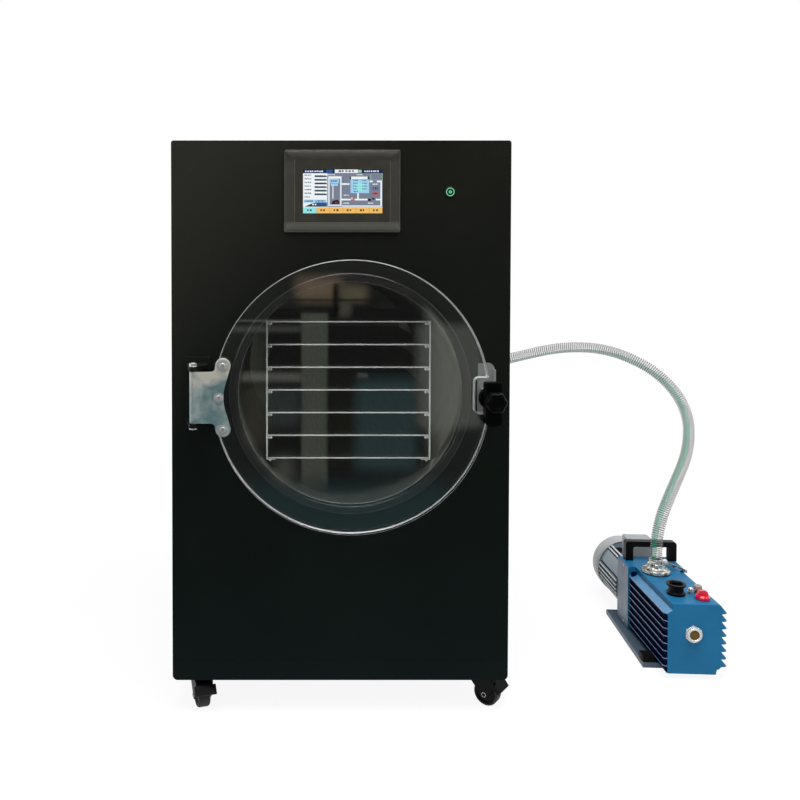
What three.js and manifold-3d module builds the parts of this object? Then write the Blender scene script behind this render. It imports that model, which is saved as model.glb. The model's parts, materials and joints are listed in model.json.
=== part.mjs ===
// Freeze dryer: a black cabinet on casters with a round clear door, joined by a clear hose to a vacuum pump
// that stands beside it. Millimetres. While it is built, X = 0 is the middle of the cabinet, Y = 0 its front
// face with +Y into its depth, and Z = 0 the floor. The finished group is moved so that the middle of its
// footprint, measured without the hose, is the origin.
import * as THREE from "three";
import { mergeVertices } from "three/addons/utils/BufferGeometryUtils.js";
import Module from "manifold-3d";

const wasm = await Module();
wasm.setup();

// ---- Driving sizes -------------------------------------------------------------------------------------

const SEAT = 0.3; // gap between two pieces that rest on or fit into each other
const RUNNING = 0.4; // gap round a shaft that turns

const CABINET = { width: 662, depth: 700, top: 1130, bottom: 68, plinth: 40, sheet: 1.5 };
const FOLD = { front: 20, side: 15, rim: 20 }; // depth of the panels' turned edges
const CORNER = { top: 5, bottom: 10 }; // outside radii of the front outline

const CHAMBER = { x: 16, z: 641, bore: 430, wall: 3, depth: 500, nose: 14, back: 6, sides: 48 };
const FLANGE = { width: 12, thickness: 4 }; // the chamber's, round its mouth
const SEAL = { front: 28, lip: 2.5, round: 5 };
const RACK = { shelves: 7, pitch: 45, plate: 3, front: 22, depth: 452, post: 20, bar: 3, clip: 4, play: 1 };
const RUNNER = { inset: 12.5, width: 6 }; // the rack's feet, set in from its sides
const COIL = { turns: 3, tube: 6, pitch: 110, start: 70 };

const DISC = { x: 17, z: 636, overhang: 32.5, thickness: 25, chamfer: 1.5 }; // overhang past the flange
const NOTCH = { depth: 28, height: 67, corner: 8, rise: 6 }; // slot for the latch, and its rise over it
const HINGE = { offset: 38.5, z: 637, length: 98, pin: 8, barrel: 7, ear: 8.5, leaf: 3 };
const LEAF = { width: 62, lobe: 14.5, upper: 61, lower: 60, lobeX: 57 }; // lobes hold the outer bolts
const LATCH = { offset: 29.5, y: -26, z: 634, pin: 8, eye: 9, eyeHeight: 14, bolt: 10, reach: 70 };
const CLAMP = { width: 30, height: 82, thickness: 22, hub: 42, hubLength: 15.5, drop: 7 };
const KNOB = { diameter: 40, length: 26, lobes: 6 };

const SCREEN = { x: 2, z: 1031.5, width: 226, height: 160, proud: 6, glassW: 187, glassH: 124 };
const SCREEN_BODY = { width: 191, height: 132, depth: 35 };
const BUTTON = { x: 212, z: 1030, bezel: 22, body: 18.6, plunger: 13, proud: 2.2, travel: 1.5, depth: 25 };

const CASTER = { height: 68, wheel: 50, tread: 25, trail: 23, plate: 4, axle: 8 };
const STANCE = { inset: 48, frontY: 55, backY: 645 }; // where the casters are
const PUMP = { x: 765.6, y: 135, turn: -3.5, bottom: 12, top: 164, width: 114, length: 217 };
const TOOTH = { right: 8, left: 7, reach: 13, leftReach: 6.5, pitch: 16.3, land: 1.5, highest: 143 };
const LEDGE = { inset: 10, drop: 13.5 }; // step beside the deck, above the left ribs
const BRACKET = { width: 130, length: 73.5 };
const BASE = { front: 50, back: 336, frontLeft: 88.5, backLeft: 77.5, right: 60 };
const MOTOR = { z: 87, radius: 70, core: 61, length: 133, cowl: 68, fins: 24, flat: 55.7 };
const TERMINALS = { x: 4, offset: 40, width: 62, length: 45, height: 49 };
const GLASS = { x: -2.6, z: 100, hexagon: 18.5, ring: 15, bore: 10.3, proud: 9 };
const HANDLE = { x: 4, offset: 50.7, width: 121, height: 47, leg: 20, bar: 13, depth: 18 };
const PORT = { y: 560, z: 630, flange: 60, nozzle: 27.6, reach: 60 };
const HOSE = { diameter: 28, sides: 8, steps: 36 };

// ---- Solids --------------------------------------------------------------------------------------------

// A closed geometry as a solid whose faces point outwards.
function solid(geometry) {
  const bare = new THREE.BufferGeometry().setAttribute("position", geometry.getAttribute("position"));
  bare.setIndex(geometry.index);
  const merged = mergeVertices(bare, 1e-4);
  const corners = [...merged.index.array];
  const whole = corners.filter((_, i) => {
    const [a, b, c] = corners.slice(i - (i % 3), i - (i % 3) + 3);
    return a !== b && b !== c && c !== a;
  });
  const make = (indices) =>
    new wasm.Manifold(
      new wasm.Mesh({
        numProp: 3,
        vertProperties: merged.attributes.position.array,
        triVerts: new Uint32Array(indices),
      }),
    );
  const made = make(whole);
  return made.volume() > 0 ? made : make(whole.reverse());
}

function geometryOf(made) {
  const mesh = made.getMesh();
  return new THREE.BufferGeometry()
    .setAttribute("position", new THREE.BufferAttribute(mesh.vertProperties, 3))
    .setIndex(new THREE.BufferAttribute(mesh.triVerts, 1));
}

const join = (...solids) => solids.reduce((a, b) => a.add(b));
const cut = (from, ...tools) => tools.reduce((a, b) => a.subtract(b), from);

function slab(x0, x1, y0, y1, z0, z1) {
  const g = new THREE.BoxGeometry(x1 - x0, y1 - y0, z1 - z0);
  return solid(g.translate((x0 + x1) / 2, (y0 + y1) / 2, (z0 + z1) / 2));
}

// Turns a geometry whose own axis is +Y so that it runs along x, y or z.
function along(axis, g) {
  if (axis === "z") return g.rotateX(Math.PI / 2);
  if (axis === "x") return g.rotateZ(-Math.PI / 2);
  return g;
}

// A cylinder between two places on an axis, centred at `at`, a Vector3 whose value on that axis is unused.
function rod(axis, radius, from, to, at, sides = 16) {
  const g = along(axis, new THREE.CylinderGeometry(radius, radius, to - from, sides));
  const centre = at.clone();
  centre[axis] = (from + to) / 2;
  return solid(g.translate(centre.x, centre.y, centre.z));
}

// A profile of [radius, height] pairs turned about an axis through `at`; the heights lie along that axis.
function turned(axis, profile, at, sides = 24) {
  const points = profile.map(([r, h]) => new THREE.Vector2(r, h));
  const g = along(axis, new THREE.LatheGeometry(points, sides));
  return solid(g.translate(at.x, at.y, at.z));
}

// An outline extruded between two places on an axis: along y it lies in (x, z), and along z in (x, y).
function sheet(axis, outline, from, to, curveSegments = 8) {
  const g = new THREE.ExtrudeGeometry(outline, { depth: to - from, bevelEnabled: false, curveSegments });
  if (axis === "y") return solid(g.rotateX(Math.PI / 2).translate(0, to, 0));
  return solid(g.translate(0, 0, from));
}

// A rectangle between two corners, with a radius for each corner: lower left, lower right, upper right,
// upper left. A radius of 0 leaves the corner sharp.
function roundRect(x0, x1, y0, y1, [a, b, c, d]) {
  const s = new THREE.Shape();
  s.moveTo(x0 + a, y0);
  s.lineTo(x1 - b, y0);
  if (b) s.absarc(x1 - b, y0 + b, b, -Math.PI / 2, 0);
  s.lineTo(x1, y1 - c);
  if (c) s.absarc(x1 - c, y1 - c, c, 0, Math.PI / 2);
  s.lineTo(x0 + d, y1);
  if (d) s.absarc(x0 + d, y1 - d, d, Math.PI / 2, Math.PI);
  s.lineTo(x0, y0 + a);
  if (a) s.absarc(x0 + a, y0 + a, a, Math.PI, 1.5 * Math.PI);
  return s;
}

const polygon = (points) => new THREE.Shape(points.map(([x, y]) => new THREE.Vector2(x, y)));
const at = (x, y, z) => new THREE.Vector3(x, y, z);

// ---- Materials -----------------------------------------------------------------------------------------

const paint = (color, roughness, metalness = 0, extra = {}) =>
  new THREE.MeshStandardMaterial({ color, roughness, metalness, ...extra });

const MATERIAL = {
  powderCoat: paint(0x1b1c19, 0.55, 0.2),
  stainless: paint(0xb9b9b4, 0.3, 1),
  zinc: paint(0xa9b6b8, 0.28, 1),
  acrylic: paint(0xf2f6f6, 0.03, 0, { transparent: true, opacity: 0.25 }),
  rubber: paint(0x0c0c0c, 0.45),
  blackPlastic: paint(0x111214, 0.35),
  greyPlastic: paint(0x4a4a45, 0.5),
  screen: paint(0x0b2150, 0.1),
  aluminium: paint(0xc9cbcc, 0.35, 1),
  copper: paint(0xb36b43, 0.35, 1),
  pumpBlue: paint(0x2a6894, 0.4, 0.1),
  motorGrey: paint(0x97a3ad, 0.45, 0.3),
  hose: paint(0xdfe6e2, 0.15, 0, { transparent: true, opacity: 0.5 }),
  redPlastic: paint(0xd8102e, 0.3),
  beigePlastic: paint(0x9c968a, 0.5),
};

const machine = new THREE.Group();

function piece(name, made, material, parent = machine) {
  const mesh = new THREE.Mesh(geometryOf(made), material);
  mesh.name = name;
  parent.add(mesh);
  return mesh;
}

// ---- Cabinet -------------------------------------------------------------------------------------------

const half = CABINET.width / 2;
const panelBottom = CABINET.bottom + CABINET.plinth + SEAT;
const coverBottom = CABINET.top - FOLD.side;
const sideFront = FOLD.front + SEAT;
const backFront = CABINET.depth - FOLD.side;
const inside = CABINET.sheet;

// An open tray of sheet metal: a box with one side missing. `open` names that side, such as "+y".
function tray([x0, x1], [y0, y1], [z0, z1], open) {
  const low = { x: x0 + inside, y: y0 + inside, z: z0 + inside };
  const high = { x: x1 - inside, y: y1 - inside, z: z1 - inside };
  const axis = open[1];
  const end = { "-x": x0, "+x": x1, "-y": y0, "+y": y1, "-z": z0, "+z": z1 }[open];
  if (open[0] === "+") high[axis] = end + 1;
  else low[axis] = end - 1;
  return cut(slab(x0, x1, y0, y1, z0, z1), slab(low.x, high.x, low.y, high.y, low.z, high.z));
}

// Rows of long holes through a wall, for air.
function slots(axis, count, pitch, width, height, centre, thickness) {
  const t = thickness;
  return Array.from({ length: count }, (_, i) => {
    const z = centre.z + (i - (count - 1) / 2) * pitch;
    const w = width / 2;
    return axis === "y"
      ? slab(centre.x - w, centre.x + w, centre.y - t, centre.y + t, z - height / 2, z + height / 2)
      : slab(centre.x - t, centre.x + t, centre.y - w, centre.y + w, z - height / 2, z + height / 2);
  });
}

const chamberOuter = CHAMBER.bore / 2 + CHAMBER.wall;
const fan = { x: 150, z: 225, y: 646, radius: 124, slots: 11 };

const casterX = half - STANCE.inset;
const casters = [
  { name: "front_left", x: -casterX, y: STANCE.frontY, turn: -72, brake: true },
  { name: "front_right", x: casterX, y: STANCE.frontY, turn: -38, brake: true },
  { name: "back_left", x: -casterX, y: STANCE.backY, turn: 100, brake: false },
  { name: "back_right", x: casterX, y: STANCE.backY, turn: 64, brake: false },
];

function baseFrame() {
  const top = CABINET.bottom + CABINET.plinth;
  const outline = roundRect(-half, half, CABINET.bottom, top, [CORNER.bottom, CORNER.bottom, 0, 0]);
  const wall = 2;
  const rim = FOLD.rim;
  const corner = CORNER.bottom - wall;
  const pocketRadii = [corner, corner, 0, 0];
  const pocket = roundRect(-half + wall, half - wall, CABINET.bottom + wall, top - wall, pocketRadii);
  const plates = casters.map(({ x, y }) =>
    slab(x - 34, x + 34, y - 34, y + 34, CABINET.bottom - CASTER.plate, CABINET.bottom + wall),
  );
  return cut(
    join(
      cut(sheet("y", outline, 0, CABINET.depth), sheet("y", pocket, wall, CABINET.depth - wall)),
      ...plates,
    ),
    slab(-half + rim, half - rim, rim, CABINET.depth - rim, top - 2 * wall, top + 1),
  );
}

// The front outline above the plinth, drawn in by `by`.
function cabinetOutline(by) {
  const r = CORNER.top - by;
  return roundRect(-half + by, half - by, panelBottom + by, CABINET.top - by, [0, 0, r, r]);
}

function frontPanel() {
  const t = inside;
  const bodyW = SCREEN_BODY.width / 2;
  const bodyH = SCREEN_BODY.height / 2;
  return cut(
    sheet("y", cabinetOutline(0), 0, FOLD.front),
    sheet("y", cabinetOutline(t), t, FOLD.front + 1),
    rod("y", chamberOuter + SEAT, -1, t + 1, at(CHAMBER.x, 0, CHAMBER.z), CHAMBER.sides),
    rod("y", BUTTON.body / 2 + SEAT, -1, t + 1, at(BUTTON.x, 0, BUTTON.z)),
    slab(
      SCREEN.x - bodyW - SEAT, SCREEN.x + bodyW + SEAT, -1, t + 1,
      SCREEN.z - bodyH - SEAT, SCREEN.z + bodyH + SEAT,
    ),
  );
}

function sidePanel(side) {
  const x = side > 0 ? [half - FOLD.side, half] : [-half, -half + FOLD.side];
  const y = [sideFront, backFront - SEAT];
  return tray(x, y, [panelBottom, coverBottom - SEAT], side > 0 ? "-x" : "+x");
}

const portCentre = at(half, PORT.y, PORT.z);
piece("base_frame", baseFrame(), MATERIAL.powderCoat);
piece("front_panel", frontPanel(), MATERIAL.powderCoat);
const airIntake = slots("x", 8, 24, 260, 9, at(-half, CABINET.depth / 2, 260), 4);
piece("left_side_panel", cut(sidePanel(-1), ...airIntake), MATERIAL.powderCoat);
const portHole = rod("x", PORT.nozzle / 2 + SEAT, half - 5, half + 1, portCentre, 20);
piece("right_side_panel", cut(sidePanel(1), portHole), MATERIAL.powderCoat);
piece(
  "back_panel",
  cut(
    tray([-half, half], [backFront, CABINET.depth], [panelBottom, coverBottom - SEAT], "-y"),
    ...slots("y", fan.slots, 21, 240, 10, at(fan.x, CABINET.depth, fan.z + 10), 4),
  ),
  MATERIAL.powderCoat,
);
piece(
  "top_cover",
  cut(
    sheet("y", cabinetOutline(0), sideFront, CABINET.depth),
    sheet("y", cabinetOutline(inside), sideFront + inside, CABINET.depth - inside),
    slab(-half - 1, half + 1, 0, CABINET.depth + 1, 0, coverBottom),
  ),
  MATERIAL.powderCoat,
);

// ---- Vacuum chamber ------------------------------------------------------------------------------------

const axis = at(CHAMBER.x, 0, CHAMBER.z);
const bore = CHAMBER.bore / 2;
const flangeOuter = bore + CHAMBER.wall + FLANGE.width;

piece(
  "chamber",
  turned(
    "y",
    [
      [bore, -CHAMBER.nose],
      [flangeOuter, -CHAMBER.nose],
      [flangeOuter, -CHAMBER.nose + FLANGE.thickness],
      [chamberOuter, -CHAMBER.nose + FLANGE.thickness],
      [chamberOuter, CHAMBER.depth + CHAMBER.back],
      [0, CHAMBER.depth + CHAMBER.back],
      [0, CHAMBER.depth],
      [bore, CHAMBER.depth],
      [bore, -CHAMBER.nose],
    ],
    axis,
    CHAMBER.sides,
  ),
  MATERIAL.stainless,
);

// A rubber ring with a rounded face towards the door and a lip over the chamber's flange.
function doorSeal() {
  const inner = bore + 1;
  const outer = flangeOuter + SEAT + SEAL.lip;
  const front = -SEAL.front;
  const back = -CHAMBER.nose - SEAT;
  const lip = flangeOuter + SEAT;
  const round = SEAL.round;
  const profile = [
    [inner, back], [inner, front + round], [inner + round, front], [outer - round, front],
    [outer, front + round], [outer, -1], [lip, -1], [lip, back], [inner, back],
  ];
  return turned("y", profile, axis, CHAMBER.sides);
}
piece("door_seal", doorSeal(), MATERIAL.rubber);

// The evaporator tube, wound round the chamber. Its steps are chords, so it stands off by their rise.
function coolingCoil() {
  const perTurn = 20;
  const rise = 1 / Math.cos(Math.PI / perTurn);
  const radius = (chamberOuter + COIL.tube + 2 * SEAT) * rise;
  const points = [];
  for (let i = 0; i <= COIL.turns * perTurn; i++) {
    const a = (i / perTurn) * 2 * Math.PI;
    const y = COIL.start + (i / perTurn) * COIL.pitch;
    points.push(at(CHAMBER.x + radius * Math.cos(a), y, CHAMBER.z + radius * Math.sin(a)));
  }
  return pipeAlong(new THREE.CatmullRomCurve3(points), COIL.tube, 5, COIL.turns * perTurn);
}

// A round tube or bar that follows a curve.
function pipeAlong(curve, radius, sides, steps, hole = 0) {
  const ring = (r) =>
    Array.from({ length: sides }, (_, i) => {
      const a = (i / sides) * 2 * Math.PI;
      return [r * Math.cos(a), r * Math.sin(a)];
    });
  const section = polygon(ring(radius));
  if (hole) section.holes.push(polygon(ring(hole)));
  return solid(new THREE.ExtrudeGeometry(section, { steps, extrudePath: curve, bevelEnabled: false }));
}
piece("cooling_coil", coolingCoil(), MATERIAL.copper);

// ---- Shelf rack ----------------------------------------------------------------------------------------

const seatR = bore * Math.cos(Math.PI / CHAMBER.sides) - SEAT; // inside the flats of the faceted bore
const stackHalf = ((RACK.shelves - 1) / 2) * RACK.pitch + (RACK.plate + RACK.clip) / 2 + SEAT;
const rackHalf = Math.sqrt(seatR ** 2 - stackHalf ** 2) - RACK.play;
const postInner = rackHalf - RACK.bar;
const shelfZ = (i) => CHAMBER.z + (i - (RACK.shelves - 1) / 2) * RACK.pitch;
const lowest = shelfZ(0);
const highest = shelfZ(RACK.shelves - 1);
const rackBack = RACK.front + RACK.depth;
const runner = { inner: rackHalf - RUNNER.inset - RUNNER.width, outer: rackHalf - RUNNER.inset };

// Four posts with a clip under each shelf, tied together behind, on two runners that stand in the bore.
function rackFrame() {
  const runnerBottom = CHAMBER.z - Math.sqrt(seatR ** 2 - runner.outer ** 2);
  const parts = [];
  for (const side of [-1, 1]) {
    const across = (a, b) => [CHAMBER.x + side * a, CHAMBER.x + side * b].sort((p, q) => p - q);
    const [p0, p1] = across(postInner, rackHalf);
    const [r0, r1] = across(runner.inner, runner.outer);
    const under = lowest - RACK.plate / 2 - SEAT;
    parts.push(slab(r0, r1, RACK.front, rackBack, runnerBottom, under));
    for (const y of [RACK.front, rackBack - RACK.post]) {
      parts.push(slab(p0, p1, y, y + RACK.post, under - RACK.clip / 2, highest + RACK.plate / 2 + SEAT));
      for (let i = 0; i < RACK.shelves; i++) {
        const seat = shelfZ(i) - RACK.plate / 2 - SEAT;
        const [c0, c1] = across(i ? postInner - 9 : runner.inner, postInner + RACK.bar / 2);
        parts.push(slab(c0, c1, y, y + RACK.post, seat - RACK.clip, seat));
      }
    }
  }
  const tieFront = rackBack - RACK.bar;
  for (const z of [lowest + RACK.pitch / 2, highest - RACK.pitch / 2]) {
    const x0 = CHAMBER.x - postInner - RACK.bar / 2;
    parts.push(slab(x0, 2 * CHAMBER.x - x0, tieFront, rackBack, z - 6, z + 6));
  }
  return join(...parts);
}
piece("rack_frame", rackFrame(), MATERIAL.stainless);

for (let i = 0; i < RACK.shelves; i++) {
  const reach = postInner - SEAT;
  const back = rackBack - RACK.bar - SEAT;
  const z = shelfZ(i);
  piece(
    `shelf_${i + 1}`,
    slab(
      CHAMBER.x - reach, CHAMBER.x + reach, RACK.front + 2, back,
      z - RACK.plate / 2, z + RACK.plate / 2,
    ),
    MATERIAL.aluminium,
  );
}

// ---- Operator panel ------------------------------------------------------------------------------------

// A moulded frame that stands proud of the panel with sloping edges, and its body behind the cut-out.
function screenHousing() {
  const { x, z, width, height, proud } = SCREEN;
  const slope = 5;
  const frame = new THREE.ExtrudeGeometry(
    roundRect(
      x - width / 2 + slope, x + width / 2 - slope, z - height / 2 + slope, z + height / 2 - slope,
      [2, 2, 2, 2],
    ),
    { depth: 0.5, bevelThickness: proud - 1.5, bevelSize: slope, bevelSegments: 1, curveSegments: 2 },
  );
  frame.rotateX(Math.PI / 2).translate(0, -1, 0);
  const front = cut(solid(frame), slab(x - width, x + width, -SEAT, 20, z - height, z + height));
  const w = SCREEN_BODY.width / 2;
  const h = SCREEN_BODY.height / 2;
  const body = slab(x - w, x + w, -1, SCREEN_BODY.depth, z - h, z + h);
  const gw = SCREEN.glassW / 2 + SEAT;
  const gh = SCREEN.glassH / 2 + SEAT;
  return cut(join(front, body), slab(x - gw, x + gw, -20, -proud + 2, z - gh, z + gh));
}
piece("screen_housing", screenHousing(), MATERIAL.greyPlastic);
piece(
  "touch_screen",
  slab(
    SCREEN.x - SCREEN.glassW / 2, SCREEN.x + SCREEN.glassW / 2, -SCREEN.proud + 0.5, -SCREEN.proud + 2 - SEAT,
    SCREEN.z - SCREEN.glassH / 2, SCREEN.z + SCREEN.glassH / 2,
  ),
  MATERIAL.screen,
);

const buttonAt = at(BUTTON.x, 0, BUTTON.z);
const plungerR = BUTTON.plunger / 2;
piece(
  "button_bezel",
  cut(
    join(
      turned(
        "y",
        [
          [0, -SEAT],
          [BUTTON.bezel / 2, -SEAT],
          [BUTTON.bezel / 2, -1.4],
          [BUTTON.bezel / 2 - 1.2, -BUTTON.proud],
          [0, -BUTTON.proud],
        ],
        buttonAt,
      ),
      rod("y", BUTTON.body / 2, -1, BUTTON.depth, buttonAt),
    ),
    rod("y", plungerR + SEAT, -5, 6, buttonAt),
  ),
  MATERIAL.blackPlastic,
);
piece(
  "power_button",
  rod("y", plungerR, -BUTTON.proud - 0.6, 6 - SEAT - BUTTON.travel - 1, buttonAt),
  MATERIAL.greyPlastic,
);

// ---- Door: clear disc on a hinge -----------------------------------------------------------------------

const discBack = -SEAL.front - SEAT;
const discFront = discBack - DISC.thickness;
const discR = flangeOuter + DISC.overhang;
const discAt = at(DISC.x, 0, DISC.z);
const notchInner = DISC.x + discR - NOTCH.depth;

function doorDisc() {
  const c = DISC.chamfer;
  const disc = turned(
    "y",
    [
      [0, discFront],
      [discR - c, discFront],
      [discR, discFront + c],
      [discR, discBack - c],
      [discR - c, discBack],
      [0, discBack],
    ],
    discAt,
    64,
  );
  const low = LATCH.z + NOTCH.rise - NOTCH.height / 2;
  const outline = roundRect(
    notchInner, DISC.x + discR + 20, low, low + NOTCH.height,
    [NOTCH.corner, 0, 0, NOTCH.corner],
  );
  return cut(disc, sheet("y", outline, discFront - 1, discBack + 1, 4));
}
piece("door_disc", doorDisc(), MATERIAL.acrylic);

const leafBack = discFront - SEAT;
const leafFront = leafBack - HINGE.leaf;
const hingeX = DISC.x - discR - HINGE.offset;
const hingeY = leafFront + HINGE.barrel; // the barrel is flush with the leaf's face
const hingeAt = at(hingeX, hingeY, 0);
const hingeLow = HINGE.z - HINGE.length / 2;
const hingeHigh = HINGE.z + HINGE.length / 2;
const pinR = HINGE.pin / 2;

// The leaf's outline in (x, z): a rectangle with two round lobes and a hollow edge between them.
function leafOutline() {
  const lobeX = hingeX + LEAF.lobeX;
  const edge = hingeX + LEAF.width;
  const r = LEAF.lobe;
  const s = new THREE.Shape();
  s.moveTo(hingeX, hingeLow);
  s.lineTo(lobeX - 22, hingeLow);
  s.quadraticCurveTo(lobeX - 16, hingeLow, lobeX - r, HINGE.z - LEAF.lower + 3);
  s.absarc(lobeX, HINGE.z - LEAF.lower, r, Math.PI * 0.95, Math.PI * 2.05);
  s.quadraticCurveTo(edge - 4, HINGE.z - 34, edge - 4, HINGE.z);
  s.quadraticCurveTo(edge - 4, HINGE.z + 34, lobeX + r, HINGE.z + LEAF.upper - 3);
  s.absarc(lobeX, HINGE.z + LEAF.upper, r, -Math.PI * 0.05, Math.PI * 1.05);
  s.quadraticCurveTo(lobeX - 16, hingeHigh, lobeX - 22, hingeHigh);
  s.lineTo(hingeX, hingeHigh);
  return s;
}

piece(
  "hinge_leaf",
  cut(
    join(
      sheet("y", leafOutline(), leafFront, leafBack, 6),
      rod("z", HINGE.barrel, hingeLow, hingeHigh, hingeAt, 20),
    ),
    rod("z", pinR + RUNNING, hingeLow - 1, hingeHigh + 1, hingeAt, 16),
  ),
  MATERIAL.zinc,
);

// Two ears that reach out from a plate on the cabinet's face and hold the pin above and below the leaf.
function hingeBracket() {
  const gap = 0.5;
  const wide = HINGE.barrel + 1.5;
  const plate = slab(hingeX - 20, hingeX + 29, -4, -SEAT, HINGE.z - 71, HINGE.z + 72);
  const ear = (z0, z1) => {
    const outline = new THREE.Shape();
    outline.moveTo(hingeX - 18, -2);
    outline.lineTo(hingeX - wide, hingeY);
    outline.absarc(hingeX, hingeY, wide, Math.PI, 2 * Math.PI);
    outline.lineTo(hingeX + 26, -2);
    return sheet("z", outline, z0, z1, 6);
  };
  return cut(
    join(
      plate,
      ear(hingeHigh + gap, hingeHigh + gap + HINGE.ear),
      ear(hingeLow - gap - HINGE.ear, hingeLow - gap),
    ),
    rod("z", pinR + SEAT, hingeLow - 40, hingeHigh + 40, hingeAt, 16),
  );
}
piece("hinge_bracket", hingeBracket(), MATERIAL.zinc);

const earTop = hingeHigh + 0.5 + HINGE.ear;
const earBottom = hingeLow - 0.5 - HINGE.ear;
piece(
  "hinge_pin",
  join(
    rod("z", pinR, earBottom - 3, earTop + 8, hingeAt, 16),
    rod("z", 7.5, earTop + SEAT, earTop + 7, hingeAt, 6),
    rod("z", 6.5, earBottom - 4, earBottom - SEAT, hingeAt, 16),
  ),
  MATERIAL.zinc,
);

// ---- Door latch: swing bolt with a clamp bar and a knob ------------------------------------------------

const latchX = notchInner + LATCH.offset;
const latchAt = at(latchX, LATCH.y, LATCH.z);
const boltAxis = at(latchX, 0, LATCH.z);
const latchPinR = LATCH.pin / 2;
const eyeHalf = LATCH.eyeHeight / 2;
const earLow = eyeHalf + RUNNING;

// A plate on the cabinet's face with two ears for the pin and a turned edge above them.
function latchBracket() {
  const right = latchX + 18.5;
  const outline = roundRect(latchX - 15, right, LATCH.z - 34, LATCH.z + 63, [3, 3, 12, 3]);
  const ear = (z0, z1) => {
    const s = new THREE.Shape();
    s.moveTo(latchX - 9, -2);
    s.lineTo(latchX - 9, LATCH.y);
    s.absarc(latchX, LATCH.y, 9, Math.PI, 2 * Math.PI);
    s.lineTo(latchX + 9, -2);
    return sheet("z", s, z0, z1, 6);
  };
  return cut(
    join(
      sheet("y", outline, -4, -SEAT, 4),
      slab(right - 4, right, -16, -2, LATCH.z + 27, LATCH.z + 51),
      ear(LATCH.z + earLow, LATCH.z + earLow + 6),
      ear(LATCH.z - earLow - 6, LATCH.z - earLow),
    ),
    rod("z", latchPinR + SEAT, LATCH.z - 40, LATCH.z + 40, latchAt, 16),
  );
}
piece("latch_bracket", latchBracket(), MATERIAL.zinc);
piece(
  "latch_pin",
  join(
    rod("z", latchPinR, LATCH.z - earLow - 9, LATCH.z + earLow + 8, latchAt, 16),
    rod("z", 6, LATCH.z + earLow + 6 + SEAT, LATCH.z + earLow + 9, latchAt, 16),
  ),
  MATERIAL.zinc,
);

const boltR = LATCH.bolt / 2;
piece(
  "swing_bolt",
  cut(
    join(
      rod("z", LATCH.eye, LATCH.z - eyeHalf, LATCH.z + eyeHalf, latchAt, 20),
      rod("y", boltR, LATCH.y - LATCH.reach, LATCH.y - LATCH.eye + 1, boltAxis, 16),
    ),
    rod("z", latchPinR + RUNNING, LATCH.z - 20, LATCH.z + 20, latchAt, 16),
  ),
  MATERIAL.zinc,
);

const clampBack = discFront - SEAT;
const clampFront = clampBack - CLAMP.thickness;
const boltHole = rod("y", boltR + RUNNING, -200, 10, boltAxis, 16);
piece(
  "clamp_bar",
  cut(
    join(
      sheet(
        "y",
        roundRect(
          latchX - CLAMP.width / 2, latchX + CLAMP.width / 2,
          LATCH.z - CLAMP.drop - CLAMP.height / 2, LATCH.z - CLAMP.drop + CLAMP.height / 2,
          [9, 9, 4, 4],
        ),
        clampFront,
        clampBack,
        4,
      ),
      rod("y", CLAMP.hub / 2, clampBack - 1, clampBack + CLAMP.hubLength, boltAxis, 28),
    ),
    boltHole,
  ),
  MATERIAL.blackPlastic,
);

// A hand knob with shallow lobes and a blind thread from behind.
function latchKnob() {
  const s = new THREE.Shape();
  const steps = KNOB.lobes * 6;
  for (let i = 0; i < steps; i++) {
    const a = (i / steps) * 2 * Math.PI;
    const r = KNOB.diameter / 2 - 1.2 + 1.2 * Math.cos(KNOB.lobes * a);
    const point = [latchX + r * Math.cos(a), LATCH.z + r * Math.sin(a)];
    if (i) s.lineTo(...point);
    else s.moveTo(...point);
  }
  const back = clampFront - SEAT;
  return cut(
    sheet("y", s, back - KNOB.length, back),
    rod("y", boltR + RUNNING, back - KNOB.length + 4, back + 1, boltAxis, 16),
  );
}
piece("latch_knob", latchKnob(), MATERIAL.blackPlastic);

// ---- Refrigeration and control -------------------------------------------------------------------------

const floorZ = CABINET.bottom + 2 + SEAT;
const sideInner = half - inside - SEAT;

piece(
  "compressor",
  join(
    turned(
      "z",
      [[0, floorZ + 10], [70, floorZ + 14], [88, floorZ + 40], [90, floorZ + 110], [88, floorZ + 185],
        [66, floorZ + 222], [30, floorZ + 234], [0, floorZ + 236]],
      at(-160, 430, 0),
      20,
    ),
    slab(-250, -70, 360, 500, floorZ, floorZ + 12),
  ),
  MATERIAL.blackPlastic,
);

const condenserFront = fan.y - 56;
piece(
  "condenser",
  join(
    slab(fan.x - 140, fan.x + 140, condenserFront, condenserFront + 50, floorZ + 12, floorZ + 305),
    slab(fan.x - 144, fan.x - 139, condenserFront, condenserFront + 50, floorZ, floorZ + 308),
    slab(fan.x + 139, fan.x + 144, condenserFront, condenserFront + 50, floorZ, floorZ + 308),
  ),
  MATERIAL.aluminium,
);

const fanAxis = at(fan.x, 0, fan.z);
const ringR = fan.radius + 4;
const shroudFront = condenserFront + 50 + SEAT;

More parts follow.
